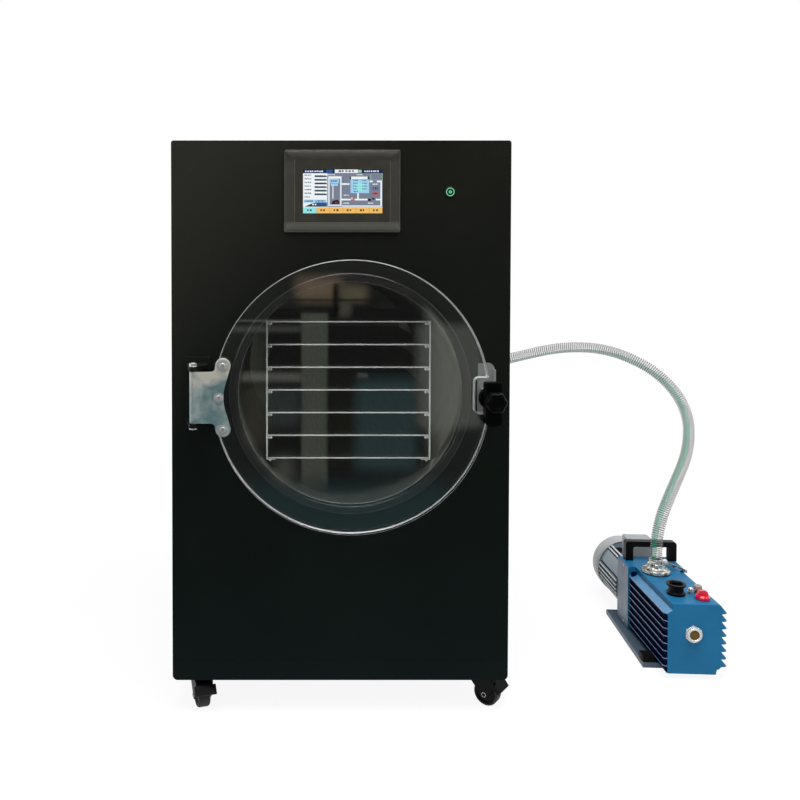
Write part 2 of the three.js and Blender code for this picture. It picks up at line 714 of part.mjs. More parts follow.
// A square plate with a short duct for the fan, and three arms behind it that carry the fan motor.
function fanShroud() {
  const duct = cut(
    rod("y", ringR + 2, shroudFront, shroudFront + 32, fanAxis, 28),
    rod("y", ringR, shroudFront - 1, shroudFront + 33, fanAxis, 28),
  );
  const plate = cut(
    slab(fan.x - 144, fan.x + 144, shroudFront, shroudFront + 2, floorZ, floorZ + 308),
    rod("y", ringR, shroudFront - 1, shroudFront + 3, fanAxis, 28),
  );
  const armAt = shroudFront + 28;
  const arms = [90, 210, 330].map((degrees) => {
    const a = THREE.MathUtils.degToRad(degrees);
    const u = [Math.cos(a), Math.sin(a)];
    const corner = (along, across) => [
      fan.x + u[0] * along - u[1] * across,
      fan.z + u[1] * along + u[0] * across,
    ];
    const outline = polygon([corner(0, -6), corner(ringR + 1, -6), corner(ringR + 1, 6), corner(0, 6)]);
    return sheet("y", outline, armAt, armAt + 4);
  });
  return join(
    duct,
    plate,
    ...arms,
    rod("y", 30, shroudFront + 20, armAt + 4, fanAxis),
    rod("y", 4, shroudFront + 4, armAt, fanAxis, 8),
  );
}
piece("fan_shroud", fanShroud(), MATERIAL.powderCoat);

function condenserFan() {
  const hubFront = shroudFront + 3;
  const hubBack = shroudFront + 20 - 0.6;
  const blades = Array.from({ length: 5 }, (_, i) => {
    const blade = new THREE.BoxGeometry(fan.radius - 30, 3, 46);
    blade.rotateX(THREE.MathUtils.degToRad(20));
    blade.translate(30 + (fan.radius - 30) / 2 - 3, (hubFront + hubBack) / 2, 0);
    blade.rotateY((i / 5) * 2 * Math.PI);
    return solid(blade.translate(fan.x, 0, fan.z));
  });
  return cut(
    join(rod("y", 34, hubFront, hubBack, fanAxis), ...blades),
    rod("y", 4 + RUNNING, shroudFront, shroudFront + 40, fanAxis, 8),
  );
}
piece("condenser_fan", condenserFan(), MATERIAL.blackPlastic);

piece(
  "control_box",
  slab(-sideInner, -sideInner + 90, 130, 430, 900, 1080),
  MATERIAL.motorGrey,
);

// ---- Vacuum line ---------------------------------------------------------------------------------------

const nozzleR = PORT.nozzle / 2;
const portInner = half - 26;

function vacuumPipe() {
  const start = at(CHAMBER.x + 178, CHAMBER.depth + CHAMBER.back + SEAT, PORT.z);
  const bend = 42;
  const points = [start, at(start.x, PORT.y - bend, PORT.z)];
  for (const turn of [15, 30, 45, 60, 75]) {
    const a = THREE.MathUtils.degToRad(turn);
    points.push(
      at(start.x + bend * (1 - Math.cos(a)), PORT.y - bend + bend * Math.sin(a), PORT.z),
    );
  }
  points.push(at(start.x + bend, PORT.y, PORT.z), at(portInner - SEAT, PORT.y, PORT.z));
  const path = new THREE.CatmullRomCurve3(points, false, "centripetal");
  return pipeAlong(path, nozzleR, 8, 12, nozzleR - 2);
}
piece("vacuum_pipe", vacuumPipe(), MATERIAL.stainless);

// A flanged nozzle through the right wall, which the hose is pushed onto.
piece(
  "hose_port",
  cut(
    join(
      rod("x", PORT.flange / 2, half + SEAT, half + 6, portCentre, 24),
      rod("x", nozzleR, portInner, half + PORT.reach, portCentre),
    ),
    rod("x", nozzleR - 2.5, portInner - 1, half + PORT.reach + 1, portCentre, 16),
  ),
  MATERIAL.stainless,
);

// ---- Casters -------------------------------------------------------------------------------------------

// In its own group a caster's swivel axis is Z, the wheel trails towards +X and its axle lies along Y.
function casterAt({ name, x, y, turn, brake }) {
  const group = new THREE.Group();
  group.position.set(x, y, 0);
  group.rotation.z = THREE.MathUtils.degToRad(turn);
  machine.add(group);
  const wheelR = CASTER.wheel / 2;
  const w = CASTER.tread / 2;
  const centre = at(CASTER.trail, 0, wheelR);
  const top = CASTER.height - CASTER.plate;
  const legIn = w + 2.5;
  const legOut = legIn + 2.5;
  const nose = brake ? 44 : 34;
  const side = new THREE.Shape();
  side.moveTo(-15, top - 6);
  side.lineTo(CASTER.trail - 9, wheelR);
  side.absarc(CASTER.trail, wheelR, 9, Math.PI, 2 * Math.PI);
  side.lineTo(nose, top - 20);
  side.lineTo(nose, top - 6);
  const pivot = at(40, 0, top - 14);
  const parts = [
    sheet("y", side, -legOut, -legIn, 4),
    sheet("y", side, legIn, legOut, 4),
    slab(-15, nose - 8, -legOut, legOut, top - 8.5, top - 6),
    rod("z", 18, top - 8, top - RUNNING, at(0, 0, 0)),
    rod("y", CASTER.axle / 2, -legOut - 1.5, legOut + 1.5, centre, 12),
  ];
  if (brake) parts.push(rod("y", 2, -legOut, legOut, pivot, 8));
  piece(`caster_fork_${name}`, join(...parts), MATERIAL.blackPlastic, group);

  const hub = CASTER.axle / 2 + RUNNING;
  const tyre = [
    [hub, -w], [wheelR - 3, -w], [wheelR, -w + 3.5], [wheelR, w - 3.5], [wheelR - 3, w], [hub, w], [hub, -w],
  ];
  piece(`caster_wheel_${name}`, turned("y", tyre, centre), MATERIAL.rubber, group);

  if (!brake) return;
  const lever = polygon([
    [pivot.x - 3, pivot.z + 7.6], [pivot.x + 6, pivot.z + 5], [pivot.x + 19, pivot.z - 11],
    [pivot.x + 17, pivot.z - 14], [pivot.x + 12, pivot.z - 13.5], [pivot.x + 2.5, pivot.z - 5],
    [pivot.x - 4, pivot.z - 3], [pivot.x - 4.5, pivot.z + 4],
  ]);
  const cheek = legIn - 0.6;
  const wide = polygon([
    [nose + 1.6, pivot.z + 1], [pivot.x + 8, pivot.z + 3.2], [pivot.x + 19, pivot.z - 11],
    [pivot.x + 17, pivot.z - 14], [pivot.x + 12, pivot.z - 13.5], [nose + 1.6, pivot.z - 6.5],
  ]);
  piece(
    `brake_pedal_${name}`,
    cut(
      join(sheet("y", lever, -cheek, cheek), sheet("y", wide, -legOut - 4.5, legOut + 4.5)),
      rod("y", 2 + RUNNING, -40, 40, pivot, 8),
    ),
    MATERIAL.blackPlastic,
    group,
  );
}
casters.forEach(casterAt);

// ---- Vacuum pump ---------------------------------------------------------------------------------------

// In its own group the pump's front face is y = 0 with its middle at x = 0, and +Y runs towards the motor.
const pump = new THREE.Group();
pump.position.set(PUMP.x, PUMP.y, 0);
pump.rotation.z = THREE.MathUtils.degToRad(PUMP.turn);
machine.add(pump);
const pumpPiece = (name, made, material) => piece(name, made, material, pump);

// The oil box's section, from the top left corner clockwise. Its ribs are saw teeth: those on the right slope
// on top and are flat below, those on the left the other way up. The highest left one slopes up to a step
// beside the deck, and the right bottom corner is cut away.
function oilBoxSection() {
  const wall = PUMP.width / 2;
  const tip = wall + TOOTH.reach;
  const leftTip = wall + TOOTH.leftReach;
  const ledge = -wall + LEDGE.inset;
  const points = [[ledge, PUMP.top], [wall - 5, PUMP.top], [wall, TOOTH.highest + TOOTH.pitch]];
  for (let i = 0; i < TOOTH.right; i++) {
    const z = TOOTH.highest - i * TOOTH.pitch;
    points.push([tip, z + TOOTH.land], [tip, z], [wall, z]);
  }
  points.push([wall - 3, PUMP.bottom + 13], [wall - 9, PUMP.bottom + 10], [wall - 11, PUMP.bottom]);
  const lowestTooth = TOOTH.highest - TOOTH.left * TOOTH.pitch;
  points.push([-wall + 5, PUMP.bottom], [-wall, lowestTooth - TOOTH.pitch + 1]);
  for (let i = TOOTH.left; i > 0; i--) {
    const z = TOOTH.highest - i * TOOTH.pitch;
    points.push([-leftTip, z - TOOTH.land], [-leftTip, z], [-wall, z]);
  }
  points.push([-leftTip, TOOTH.highest - TOOTH.land], [-leftTip, TOOTH.highest], [ledge, PUMP.top - LEDGE.drop]);
  return polygon(points);
}

// The section run back from the front face, with the front ends of its ribs rounded off.
function oilBox() {
  const wall = PUMP.width / 2;
  const tip = wall + TOOTH.reach + 1;
  const leftTip = wall + TOOTH.leftReach + 1;
  const plan = polygon([
    [-leftTip, PUMP.length + 1], [-leftTip, 7], [-leftTip + 2.5, 2.5], [-wall - 1, -1],
    [wall + 1, -1], [tip - 4, 3.5], [tip, 9], [tip, PUMP.length + 1],
  ]);
  return sheet("y", oilBoxSection(), 0, PUMP.length).intersect(sheet("z", plan, 0, PUMP.top + 1));
}
pumpPiece("pump_oil_box", oilBox(), MATERIAL.pumpBlue);

const deck = PUMP.top + SEAT;
const onDeck = (x, y) => at(x, y, deck);

pumpPiece(
  "pump_inlet",
  turned(
    "z",
    [[0, 0], [31, 0], [31, 7], [25, 8.5], [25, 12], [19, 13], [19, 23], [15, 24], [13.8, 26], [13.8, 32],
      [10, 32], [10, 4], [0, 4]],
    onDeck(-13, 183),
    20,
  ),
  MATERIAL.stainless,
);
pumpPiece(
  "pump_exhaust",
  turned(
    "z",
    [[0, 0], [19, 0], [19, 5], [15.5, 7], [15.5, 18], [20.5, 20], [20.5, 24], [15.5, 24], [13.5, 21],
      [13.5, 6], [0, 6]],
    onDeck(-18, 54),
    20,
  ),
  MATERIAL.blackPlastic,
);
const capAt = onDeck(28, 29);
pumpPiece(
  "filler_cap",
  join(
    turned("z", [[0, 0], [15, 0], [15, 7], [12.5, 10], [0, 10]], capAt, 16),
    slab(capAt.x - 12, capAt.x + 12, capAt.y - 4.5, capAt.y + 4.5, deck + 9, deck + 19),
  ),
  MATERIAL.redPlastic,
);
pumpPiece(
  "ballast_knob",
  turned("z", [[0, 0], [8.5, 0], [8.5, 14], [7, 16], [0, 16]], onDeck(34, 67), 16),
  MATERIAL.beigePlastic,
);

// A hexagonal fitting in the front face, and a round nose with a recessed window.
const glassAt = at(GLASS.x, 0, GLASS.z);
pumpPiece(
  "sight_glass",
  cut(
    join(
      rod("y", GLASS.hexagon, -GLASS.proud / 2, -SEAT, glassAt, 6),
      rod("y", GLASS.ring, -GLASS.proud, -GLASS.proud / 2, glassAt, 24),
    ),
    rod("y", GLASS.bore, -GLASS.proud - 1, -GLASS.proud + 2.5, glassAt, 20),
  ),
  MATERIAL.aluminium,
);

const bracketFront = PUMP.length + SEAT;
const bracketBack = bracketFront + BRACKET.length;
const baseTop = PUMP.bottom - SEAT;
const bracketHalf = BRACKET.width / 2;
const bracketOutline = roundRect(-bracketHalf, bracketHalf, PUMP.bottom, PUMP.top, [0, 0, 4, 4]);
pumpPiece("pump_bracket", sheet("y", bracketOutline, bracketFront, bracketBack), MATERIAL.motorGrey);
pumpPiece(
  "pump_base",
  sheet(
    "z",
    polygon([
      [-BASE.frontLeft, BASE.front], [BASE.right, BASE.front],
      [BASE.right, BASE.back], [-BASE.backLeft, BASE.back],
    ]),
    0,
    baseTop,
  ),
  MATERIAL.motorGrey,
);

// A moulded carrying handle: a bar on two legs across the pump.
function handle() {
  const left = HANDLE.x - HANDLE.width / 2;
  const right = HANDLE.x + HANDLE.width / 2;
  const outer = roundRect(left, right, deck, deck + HANDLE.height, [0, 0, 8, 8]);
  const grip = roundRect(
    left + HANDLE.leg, right - HANDLE.leg, deck - 20, deck + HANDLE.height - HANDLE.bar, [0, 0, 5, 5],
  );
  const y = bracketFront + HANDLE.offset;
  const d = HANDLE.depth / 2;
  return cut(sheet("y", outer, y - d, y + d, 4), sheet("y", grip, y - d - 1, y + d + 1, 4));
}
pumpPiece("pump_handle", handle(), MATERIAL.blackPlastic);

const motorFront = bracketBack + SEAT;
const motorBack = motorFront + MOTOR.length;
const motorAxis = at(0, 0, MOTOR.z);
const padZ = MOTOR.z + MOTOR.flat;
const boxX = [TERMINALS.x - TERMINALS.width / 2, TERMINALS.x + TERMINALS.width / 2];
const boxY = [motorFront + TERMINALS.offset, motorFront + TERMINALS.offset + TERMINALS.length];

// A finned round body with a flat on top for the terminal box.
function motorBody() {
  const points = [];
  for (let i = 0; i < MOTOR.fins; i++) {
    const tooth = [[-0.16, MOTOR.radius], [0.16, MOTOR.radius], [0.24, MOTOR.core], [0.76, MOTOR.core]];
    for (const [share, r] of tooth) {
      const a = ((i + share) / MOTOR.fins) * 2 * Math.PI;
      points.push([r * Math.cos(a), MOTOR.z + r * Math.sin(a)]);
    }
  }
  const above = MOTOR.z + MOTOR.radius + 1;
  const pad = slab(boxX[0] - 1, boxX[1] + 1, boxY[0] - 1, boxY[1] + 1, padZ - 12, padZ);
  const recess = slab(boxX[0] - 1, boxX[1] + 1, boxY[0] - 1, boxY[1] + 1, padZ, above);
  return join(cut(sheet("y", polygon(points), motorFront, motorBack), recess), pad);
}
pumpPiece("pump_motor", motorBody(), MATERIAL.motorGrey);

const cowlR = MOTOR.radius + 1.5;
pumpPiece(
  "pump_cowl",
  turned(
    "y",
    [
      [cowlR, motorBack + SEAT],
      [cowlR, motorBack + MOTOR.cowl - 28],
      [cowlR - 9, motorBack + MOTOR.cowl - 11],
      [cowlR - 28, motorBack + MOTOR.cowl],
      [0, motorBack + MOTOR.cowl],
      [0, motorBack + MOTOR.cowl - 2],
      [cowlR - 29, motorBack + MOTOR.cowl - 2],
      [cowlR - 11, motorBack + MOTOR.cowl - 12],
      [cowlR - 2, motorBack + MOTOR.cowl - 29],
      [cowlR - 2, motorBack + SEAT],
      [cowlR, motorBack + SEAT],
    ],
    motorAxis,
    24,
  ),
  MATERIAL.motorGrey,
);
pumpPiece(
  "pump_terminal_box",
  slab(...boxX, ...boxY, padZ + SEAT, padZ + SEAT + TERMINALS.height),
  MATERIAL.motorGrey,
);

// ---- Hose ----------------------------------------------------------------------------------------------

// Middle line from the cabinet's port, over a high arch and down to the pump's inlet.
const hoseRoute = [
  [391.3, 560, 630], [415, 560, 630], [452, 560, 633.5], [493, 561, 642.5], [544, 563, 654],
  [594, 562, 664], [645, 559, 669], [696, 552, 668], [745, 541, 659], [791, 527, 641], [832, 508, 616],
  [865, 486, 583], [886, 462, 544], [891, 435, 500], [881, 410, 457], [861, 386, 416], [835, 366, 377],
  [808, 348, 337], [784, 332.5, 296], [769, 322, 256], [763.8, 318.5, 220], [763.8, 318.5, 196.6],
];
const hoseCurve = new THREE.CatmullRomCurve3(hoseRoute.map(([x, y, z]) => at(x, y, z)), false, "centripetal");
piece(
  "vacuum_hose",
  pipeAlong(hoseCurve, HOSE.diameter / 2, HOSE.sides, HOSE.steps),
  MATERIAL.hose,
);

// ---- Origin --------------------------------------------------------------------------------------------

const footprint = new THREE.Box3();
machine.updateMatrixWorld(true);
machine.traverse((object) => {
  if (object.isMesh && object.name !== "vacuum_hose") footprint.expandByObject(object);
});
const middle = footprint.getCenter(new THREE.Vector3());
machine.position.set(-middle.x, -middle.y, -footprint.min.z);

const part = new THREE.Group();
part.add(machine);
export default part;
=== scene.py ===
"""Looks of a freeze dryer: a black cabinet with a round clear door, and a vacuum pump on a clear hose.

The scene is in metres. Pieces are drawn in millimetres in one of two frames, and finish_piece() brings
them to metres. The cabinet's frame has X = 0 in the middle of the cabinet, Y = 0 on its front face with
+Y into its depth, and Z = 0 on the floor. The pump's frame has its origin under the middle of its front
face, and +Y runs towards its motor."""

import json
import math
import random

import bmesh
import bpy
from mathutils import Matrix, Vector

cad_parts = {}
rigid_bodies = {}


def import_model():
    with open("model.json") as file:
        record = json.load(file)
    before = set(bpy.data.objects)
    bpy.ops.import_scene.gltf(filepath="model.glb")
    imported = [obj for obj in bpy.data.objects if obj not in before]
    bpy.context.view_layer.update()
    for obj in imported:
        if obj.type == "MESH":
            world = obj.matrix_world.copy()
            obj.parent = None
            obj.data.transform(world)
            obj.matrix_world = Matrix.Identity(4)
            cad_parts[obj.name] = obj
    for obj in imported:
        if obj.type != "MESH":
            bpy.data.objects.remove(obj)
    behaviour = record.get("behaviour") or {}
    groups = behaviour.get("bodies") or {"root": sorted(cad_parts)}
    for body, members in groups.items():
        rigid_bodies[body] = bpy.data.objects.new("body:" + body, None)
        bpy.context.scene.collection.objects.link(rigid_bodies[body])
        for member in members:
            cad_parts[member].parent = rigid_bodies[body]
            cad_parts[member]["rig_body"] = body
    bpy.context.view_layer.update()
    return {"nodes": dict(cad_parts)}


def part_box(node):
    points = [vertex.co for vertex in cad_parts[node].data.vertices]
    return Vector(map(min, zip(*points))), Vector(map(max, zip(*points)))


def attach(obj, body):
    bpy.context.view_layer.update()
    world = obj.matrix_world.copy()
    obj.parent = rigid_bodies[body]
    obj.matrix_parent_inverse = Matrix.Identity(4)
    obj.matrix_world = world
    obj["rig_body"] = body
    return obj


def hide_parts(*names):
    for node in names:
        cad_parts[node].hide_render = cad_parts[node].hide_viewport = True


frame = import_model()

# ---- Sizes and places, in millimetres ----

PANEL_LOW, PANEL_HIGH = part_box("front_panel")
ORIGIN = Vector(((PANEL_LOW.x + PANEL_HIGH.x) / 2, PANEL_LOW.y, 0))
CABINET = Matrix.Translation(ORIGIN) @ Matrix.Scale(0.001, 4)
PUMP_PLACE = (765.6, 135, 0)
PUMP_TURN = math.radians(-3.5)
PUMP = CABINET @ Matrix.Translation(PUMP_PLACE) @ Matrix.Rotation(PUMP_TURN, 4, "Z")

CHAMBER_X, CHAMBER_Z = 16, 641
BORE = 215  # radius
FLANGE = 230  # radius
DEPTH = 500
SEAL_FRONT = -28
SHELVES = 7
PITCH = 45

DISC_X, DISC_Z, DISC_R = 17, 636, 262.5
DISC_BACK, DISC_FRONT = -28.3, -53.3
NOTCH_EDGE, NOTCH_Z = 251.5, 640  # the bottom of the notch in its right side, and its middle

HINGE_X, HINGE_Y, HINGE_Z = -284, -49.6, 637
LEAF_BACK, LEAF_FRONT = -53.6, -56.6
LATCH_X, LATCH_Y, LATCH_Z = 281, -26, 634

SCREEN_X, SCREEN_Z = 2, 1031.5
BUTTON_X, BUTTON_Z = 212, 1030
PORT_Y, PORT_Z = 560, 630
FAN_X, FAN_Z = 150, 225

DECK = 164.3  # the pump's top
HALF_PUMP = 57
HOSE_DIAMETER = 0.028
HOSE_PITCH = 0.0052  # of its ribs and its wire
HOSE_TWIST = 0.13  # turns that its stripe makes on the way down
HOSE_STRIPE = 0.085  # half of its stripe, in turns round it
HOSE_RIB = 0.18  # half of a rib, as a share of the pitch
HOSE_ROUTE = [
    (0.3913, 0.560, 0.630), (0.415, 0.560, 0.630), (0.452, 0.560, 0.6335), (0.493, 0.561, 0.6425),
    (0.544, 0.563, 0.654), (0.594, 0.562, 0.664), (0.645, 0.559, 0.669), (0.696, 0.552, 0.668),
    (0.745, 0.541, 0.659), (0.791, 0.527, 0.641), (0.832, 0.508, 0.616), (0.865, 0.486, 0.583),
    (0.886, 0.462, 0.544), (0.891, 0.435, 0.500), (0.881, 0.410, 0.457), (0.861, 0.386, 0.416),
    (0.835, 0.366, 0.377), (0.808, 0.348, 0.337), (0.784, 0.3325, 0.296), (0.769, 0.322, 0.256),
    (0.7638, 0.3185, 0.220), (0.7638, 0.3185, 0.1966),
]

# ---- Camera ----


EYE = Vector((-0.119, -1.650, 0.898))  # metres, in the cabinet's frame
EYE_TILT = math.radians(88.5)  # from looking straight down
SENSOR, LENS = 36, 38.07
SHIFT = (0.15, -0.1475)


def placed(name, data):
    """An object of data, in the scene."""
    made = bpy.data.objects.new(name, data)
    bpy.context.scene.collection.objects.link(made)
    return made


def make_camera():
    data = bpy.data.cameras.new("camera")
    data.sensor_width = SENSOR
    data.lens = LENS
    data.shift_x, data.shift_y = SHIFT
    camera = placed("camera", data)
    camera.location = ORIGIN + EYE
    camera.rotation_euler = (EYE_TILT, 0, 0)
    bpy.context.scene.camera = camera


make_camera()

# ---- Materials ----


class Tree:
    """A node tree, with short ways to add nodes and links."""

    def __init__(self, owner):
        owner.use_nodes = True
        self.tree = owner.node_tree
        self.tree.nodes.clear()

    def add(self, kind, **settings):
        node = self.tree.nodes.new("ShaderNode" + kind)
        for name, value in settings.items():
            setattr(node, name, value)
        return node

    def link(self, source, target):
        self.tree.links.new(source, target)

    def span(self, source, low, high, out_low=0.0, out_high=1.0):
        node = self.add("MapRange")
        node.inputs["From Min"].default_value = low
        node.inputs["From Max"].default_value = high
        node.inputs["To Min"].default_value = out_low
        node.inputs["To Max"].default_value = out_high
        self.link(source, node.inputs["Value"])
        return node.outputs["Result"]

    def math(self, operation, *values):
        node = self.add("Math", operation=operation)
        for socket, value in zip(node.inputs, values):
            if isinstance(value, (int, float)):
                socket.default_value = value
            else:
                self.link(value, socket)
        return node.outputs[0]

    def blend(self, factor, a, b):
        node = self.add("Mix", data_type="RGBA")
        self.link(factor, node.inputs[0])
        for socket, value in zip((node.inputs[6], node.inputs[7]), (a, b)):
            if isinstance(value, tuple):
                socket.default_value = (*value, 1)
            else:
                self.link(value, socket)
        return node.outputs[2]

    def mix(self, factor, a, b):
        """One of two shaders, or a share of each."""
        node = self.add("MixShader")
        for socket, source in zip(node.inputs, (factor, a, b)):
            self.link(source, socket)
        return node.outputs[0]

    def parts(self, vector):
        node = self.add("SeparateXYZ")
        self.link(vector, node.inputs[0])
        return node.outputs

    def rays(self, *kinds):
        """1 for a ray of any of the named kinds, and 0 for the rest."""
        path = self.add("LightPath").outputs
        total = path[f"Is {kinds[0]} Ray"]
        for kind in kinds[1:]:
            total = self.math("MAXIMUM", total, path[f"Is {kind} Ray"])
        return total


class Nodes(Tree):
    """A material's node tree, with its Principled shader."""

    def __init__(self, name, color, roughness, metallic=0.0, **sockets):
        self.material = bpy.data.materials.new(name)
        super().__init__(self.material)
        self.out = self.add("OutputMaterial")
        self.shader = self.add("BsdfPrincipled")
        self.link(self.shader.outputs[0], self.out.inputs[0])
        self.shader.inputs["Base Color"].default_value = (*color, 1)
        self.shader.inputs["Roughness"].default_value = roughness
        self.shader.inputs["Metallic"].default_value = metallic
        for socket, value in sockets.items():
            self.shader.inputs[socket.replace("_", " ")].default_value = value
        self.place = self.add("TexCoord").outputs["Object"]

    def stretched(self, scale):
        node = self.add("Mapping")
        node.inputs["Scale"].default_value = scale
        self.link(self.place, node.inputs["Vector"])
        return node.outputs[0]

    def noise(self, scale, detail=3.0, vector=None, rough=0.5):
        node = self.add("TexNoise")
        node.inputs["Scale"].default_value = scale
        node.inputs["Detail"].default_value = detail
        node.inputs["Roughness"].default_value = rough
        self.link(vector or self.place, node.inputs["Vector"])
        return node.outputs["Fac"]

    def cloud(self, scale, detail=3.0, low=0.3, high=0.7, out_low=0.0, out_high=1.0):
        """Noise spread over a range."""
        return self.span(self.noise(scale, detail), low, high, out_low, out_high)

    def axis(self, name):
        """The place along an axis, in metres: Z is the height above the floor."""
        return self.parts(self.place)[name]

    def color(self, source):
        self.link(source, self.shader.inputs["Base Color"])

    def roughness(self, source):
        self.link(source, self.shader.inputs["Roughness"])

    def bump(self, height, strength, distance=0.0003):
        node = self.add("Bump")
        node.inputs["Strength"].default_value = strength
        node.inputs["Distance"].default_value = distance
        self.link(height, node.inputs["Height"])
        self.link(node.outputs[0], self.shader.inputs["Normal"])


def powder_coat():
    """Black fine-textured coat: neutral at the top and slightly green below, with a painted sheen that makes
    it palest at the upper left.
    """
    m = Nodes("powder_coat", (0.009, 0.009, 0.008), 0.4, Specular_IOR_Level=0.12)
    height = m.span(m.axis("Z"), 0.1, 1.1)
    tone = m.blend(height, (0.0010, 0.0062, 0.0050), (0.0105, 0.0108, 0.0080))
    lighter = m.blend(height, (0.0016, 0.0078, 0.0064), (0.0130, 0.0130, 0.0098))
    mottled = m.blend(m.cloud(6.0, 4.0), tone, lighter)
    # Painted sheen: the coat turns paler towards the upper left, standing in for light that falls there.
    painted_sheen = m.span(m.math("SUBTRACT", m.axis("Z"), m.math("MULTIPLY", m.axis("X"), 1.3)), 1.30, 1.80)
    m.color(m.blend(painted_sheen, mottled, (0.026, 0.026, 0.021)))
    m.roughness(m.cloud(40.0, 3.0, 0.3, 0.7, 0.34, 0.46))
    m.bump(m.noise(1100.0, 2.0), 0.35, 0.0004)
    return m.material


def brushed(name, color, roughness, stretch, depth=0.12, cloudiness=0.12, metallic=1.0):
    """Metal with fine lines along the axis whose stretch is smallest, and faint cloudy stains."""
    m = Nodes(name, color, roughness, metallic)
    lines = m.noise(1.0, 4.0, m.stretched(stretch), 0.6)
    dark = tuple(c * (1 - cloudiness) for c in color)
    light = tuple(min(1.0, c * (1 + cloudiness)) for c in color)
    m.color(m.blend(m.cloud(9.0, 3.0), dark, light))
    m.roughness(m.span(lines, 0.3, 0.7, roughness * 0.75, roughness * 1.3))
    m.bump(lines, depth, 0.0002)
    return m.material


def passivated_zinc():
    """Bright plated steel with pale yellow and blue blotches, and cream patches that grow towards its top."""
    m = Nodes("passivated_zinc", (0.5, 0.55, 0.57), 0.33, 0.45)
    blotch = m.noise(38.0, 4.0)
    cool = m.blend(m.span(blotch, 0.38, 0.62), (0.19, 0.31, 0.33), (0.48, 0.58, 0.56))
    # Cream patches, more of them towards the top.
    cloudiness = m.math("ADD", m.noise(22.0, 3.0), m.span(m.axis("Z"), 0.64, 0.71, 0.0, 0.35))
    m.color(m.blend(m.span(cloudiness, 0.56, 0.72), cool, (0.80, 0.78, 0.68)))
    m.roughness(m.cloud(120.0, 4.0, 0.3, 0.7, 0.28, 0.48))
    m.bump(m.noise(500.0, 2.0), 0.12)
    return m.material


def cast_steel():
    """Machined fittings: pale metal with painted dark patches that stand in for a room mirrored in them."""
    m = Nodes("cast_steel", (0.8, 0.79, 0.74), 0.24, 0.7)
    # Painted reflection: dark patches over the pale metal.
    patches = m.span(m.noise(90.0, 3.0, m.stretched((1.0, 1.0, 1.7)), 0.5), 0.36, 0.56)
    m.color(m.blend(patches, (0.17, 0.165, 0.15), (0.90, 0.885, 0.83)))
    m.roughness(m.cloud(300.0, 2.0, 0.3, 0.7, 0.18, 0.34))
    m.bump(m.noise(420.0, 2.0), 0.12)
    return m.material


def clear(name, tint, roughness, haze=0.0, through=1.0):
    """Clear acrylic, frosted where through is under 1. Lamps shine through it and light what is behind it."""
    m = Nodes(name, tint, roughness, IOR=1.49, Transmission_Weight=through)
    if haze:
        m.roughness(m.span(m.noise(14.0, 5.0, None, 0.65), 0.55, 0.85, roughness, roughness + haze))
    open_shader = m.add("BsdfTransparent")
    open_shader.inputs["Color"].default_value = (*(0.96 * c for c in tint), 1)
    m.link(m.mix(m.rays("Shadow"), m.shader.outputs[0], open_shader.outputs[0]), m.out.inputs[0])
    return m.material


def plastic(name, color, roughness, grain=900.0, depth=0.12, **sockets):
    """Moulded plastic or rubber with a fine grain and slight wear."""
    m = Nodes(name, color, roughness, **sockets)
    worn = tuple(min(1.0, c * 1.3 + 0.0015) for c in color)
    m.color(m.blend(m.cloud(30.0, 4.0, 0.4, 0.75), color, worn))
    m.roughness(m.span(m.noise(80.0, 3.0), 0.3, 0.7, roughness * 0.85, min(1.0, roughness * 1.2)))
    m.bump(m.noise(grain, 2.0), depth)
    return m.material


def bezel_plastic():
    """The screen's frame: dark moulded plastic, with its sides made paler than its top by a painted sheen and
    a painted highlight that makes it palest along its lower edge.
    """
    m = Nodes("bezel_plastic", (0.027, 0.026, 0.020), 0.5)
    grain = m.noise(1400.0, 2.0)
    top = m.blend(grain, (0.018, 0.017, 0.013), (0.028, 0.027, 0.021))
    # Painted sheen: the sides take a paler colour than the top.
    sides = m.blend(grain, (0.034, 0.033, 0.028), (0.046, 0.045, 0.038))
    dark = m.blend(m.span(m.axis("Z"), 1.095, 1.085), top, sides)
    # Painted highlight: a pale band along the lower edge.
    m.color(m.blend(m.span(m.axis("Z"), 0.974, 0.966), dark, (0.112, 0.112, 0.095)))
    m.roughness(m.cloud(80.0, 3.0, 0.3, 0.7, 0.42, 0.6))
    m.bump(grain, 0.2)
    return m.material


def cast_paint(name, color, roughness, chips=0.0, gloss=0.2):
    """Paint over a casting: an uneven surface, faint dirt and, where chipped, bare metal."""
    shine = {"Coat_Weight": gloss, "Coat_Roughness": 0.25, "Specular_IOR_Level": 2.5 * gloss}
    m = Nodes(name, color, roughness, **shine)
    dusty = tuple(c * 0.86 + 0.03 * gloss for c in color)
    tone = m.blend(m.cloud(22.0, 4.0, 0.35, 0.75), color, dusty)
    if chips:
        chipped = m.span(m.noise(260.0, 3.0, None, 0.7), 0.74 - chips, 0.75 - chips)
        tone = m.blend(chipped, tone, (0.30, 0.33, 0.36))
    m.color(tone)
    m.roughness(m.cloud(60.0, 3.0, 0.3, 0.7, roughness * 0.85, roughness * 1.2))
    m.bump(m.noise(320.0, 3.0), 0.18, 0.0004)
    return m.material


def glow(name, color, strength=1.0):
    """A lit area, with the fine grid of a display."""
    m = Nodes(name, (0.0, 0.0, 0.0), 0.3, Specular_IOR_Level=0.1)
    dim = tuple(c * 0.92 for c in color)
    m.link(m.blend(m.cloud(2500.0, 1.0), dim, color), m.shader.inputs["Emission Color"])
    m.shader.inputs["Emission Strength"].default_value = strength
    return m.material


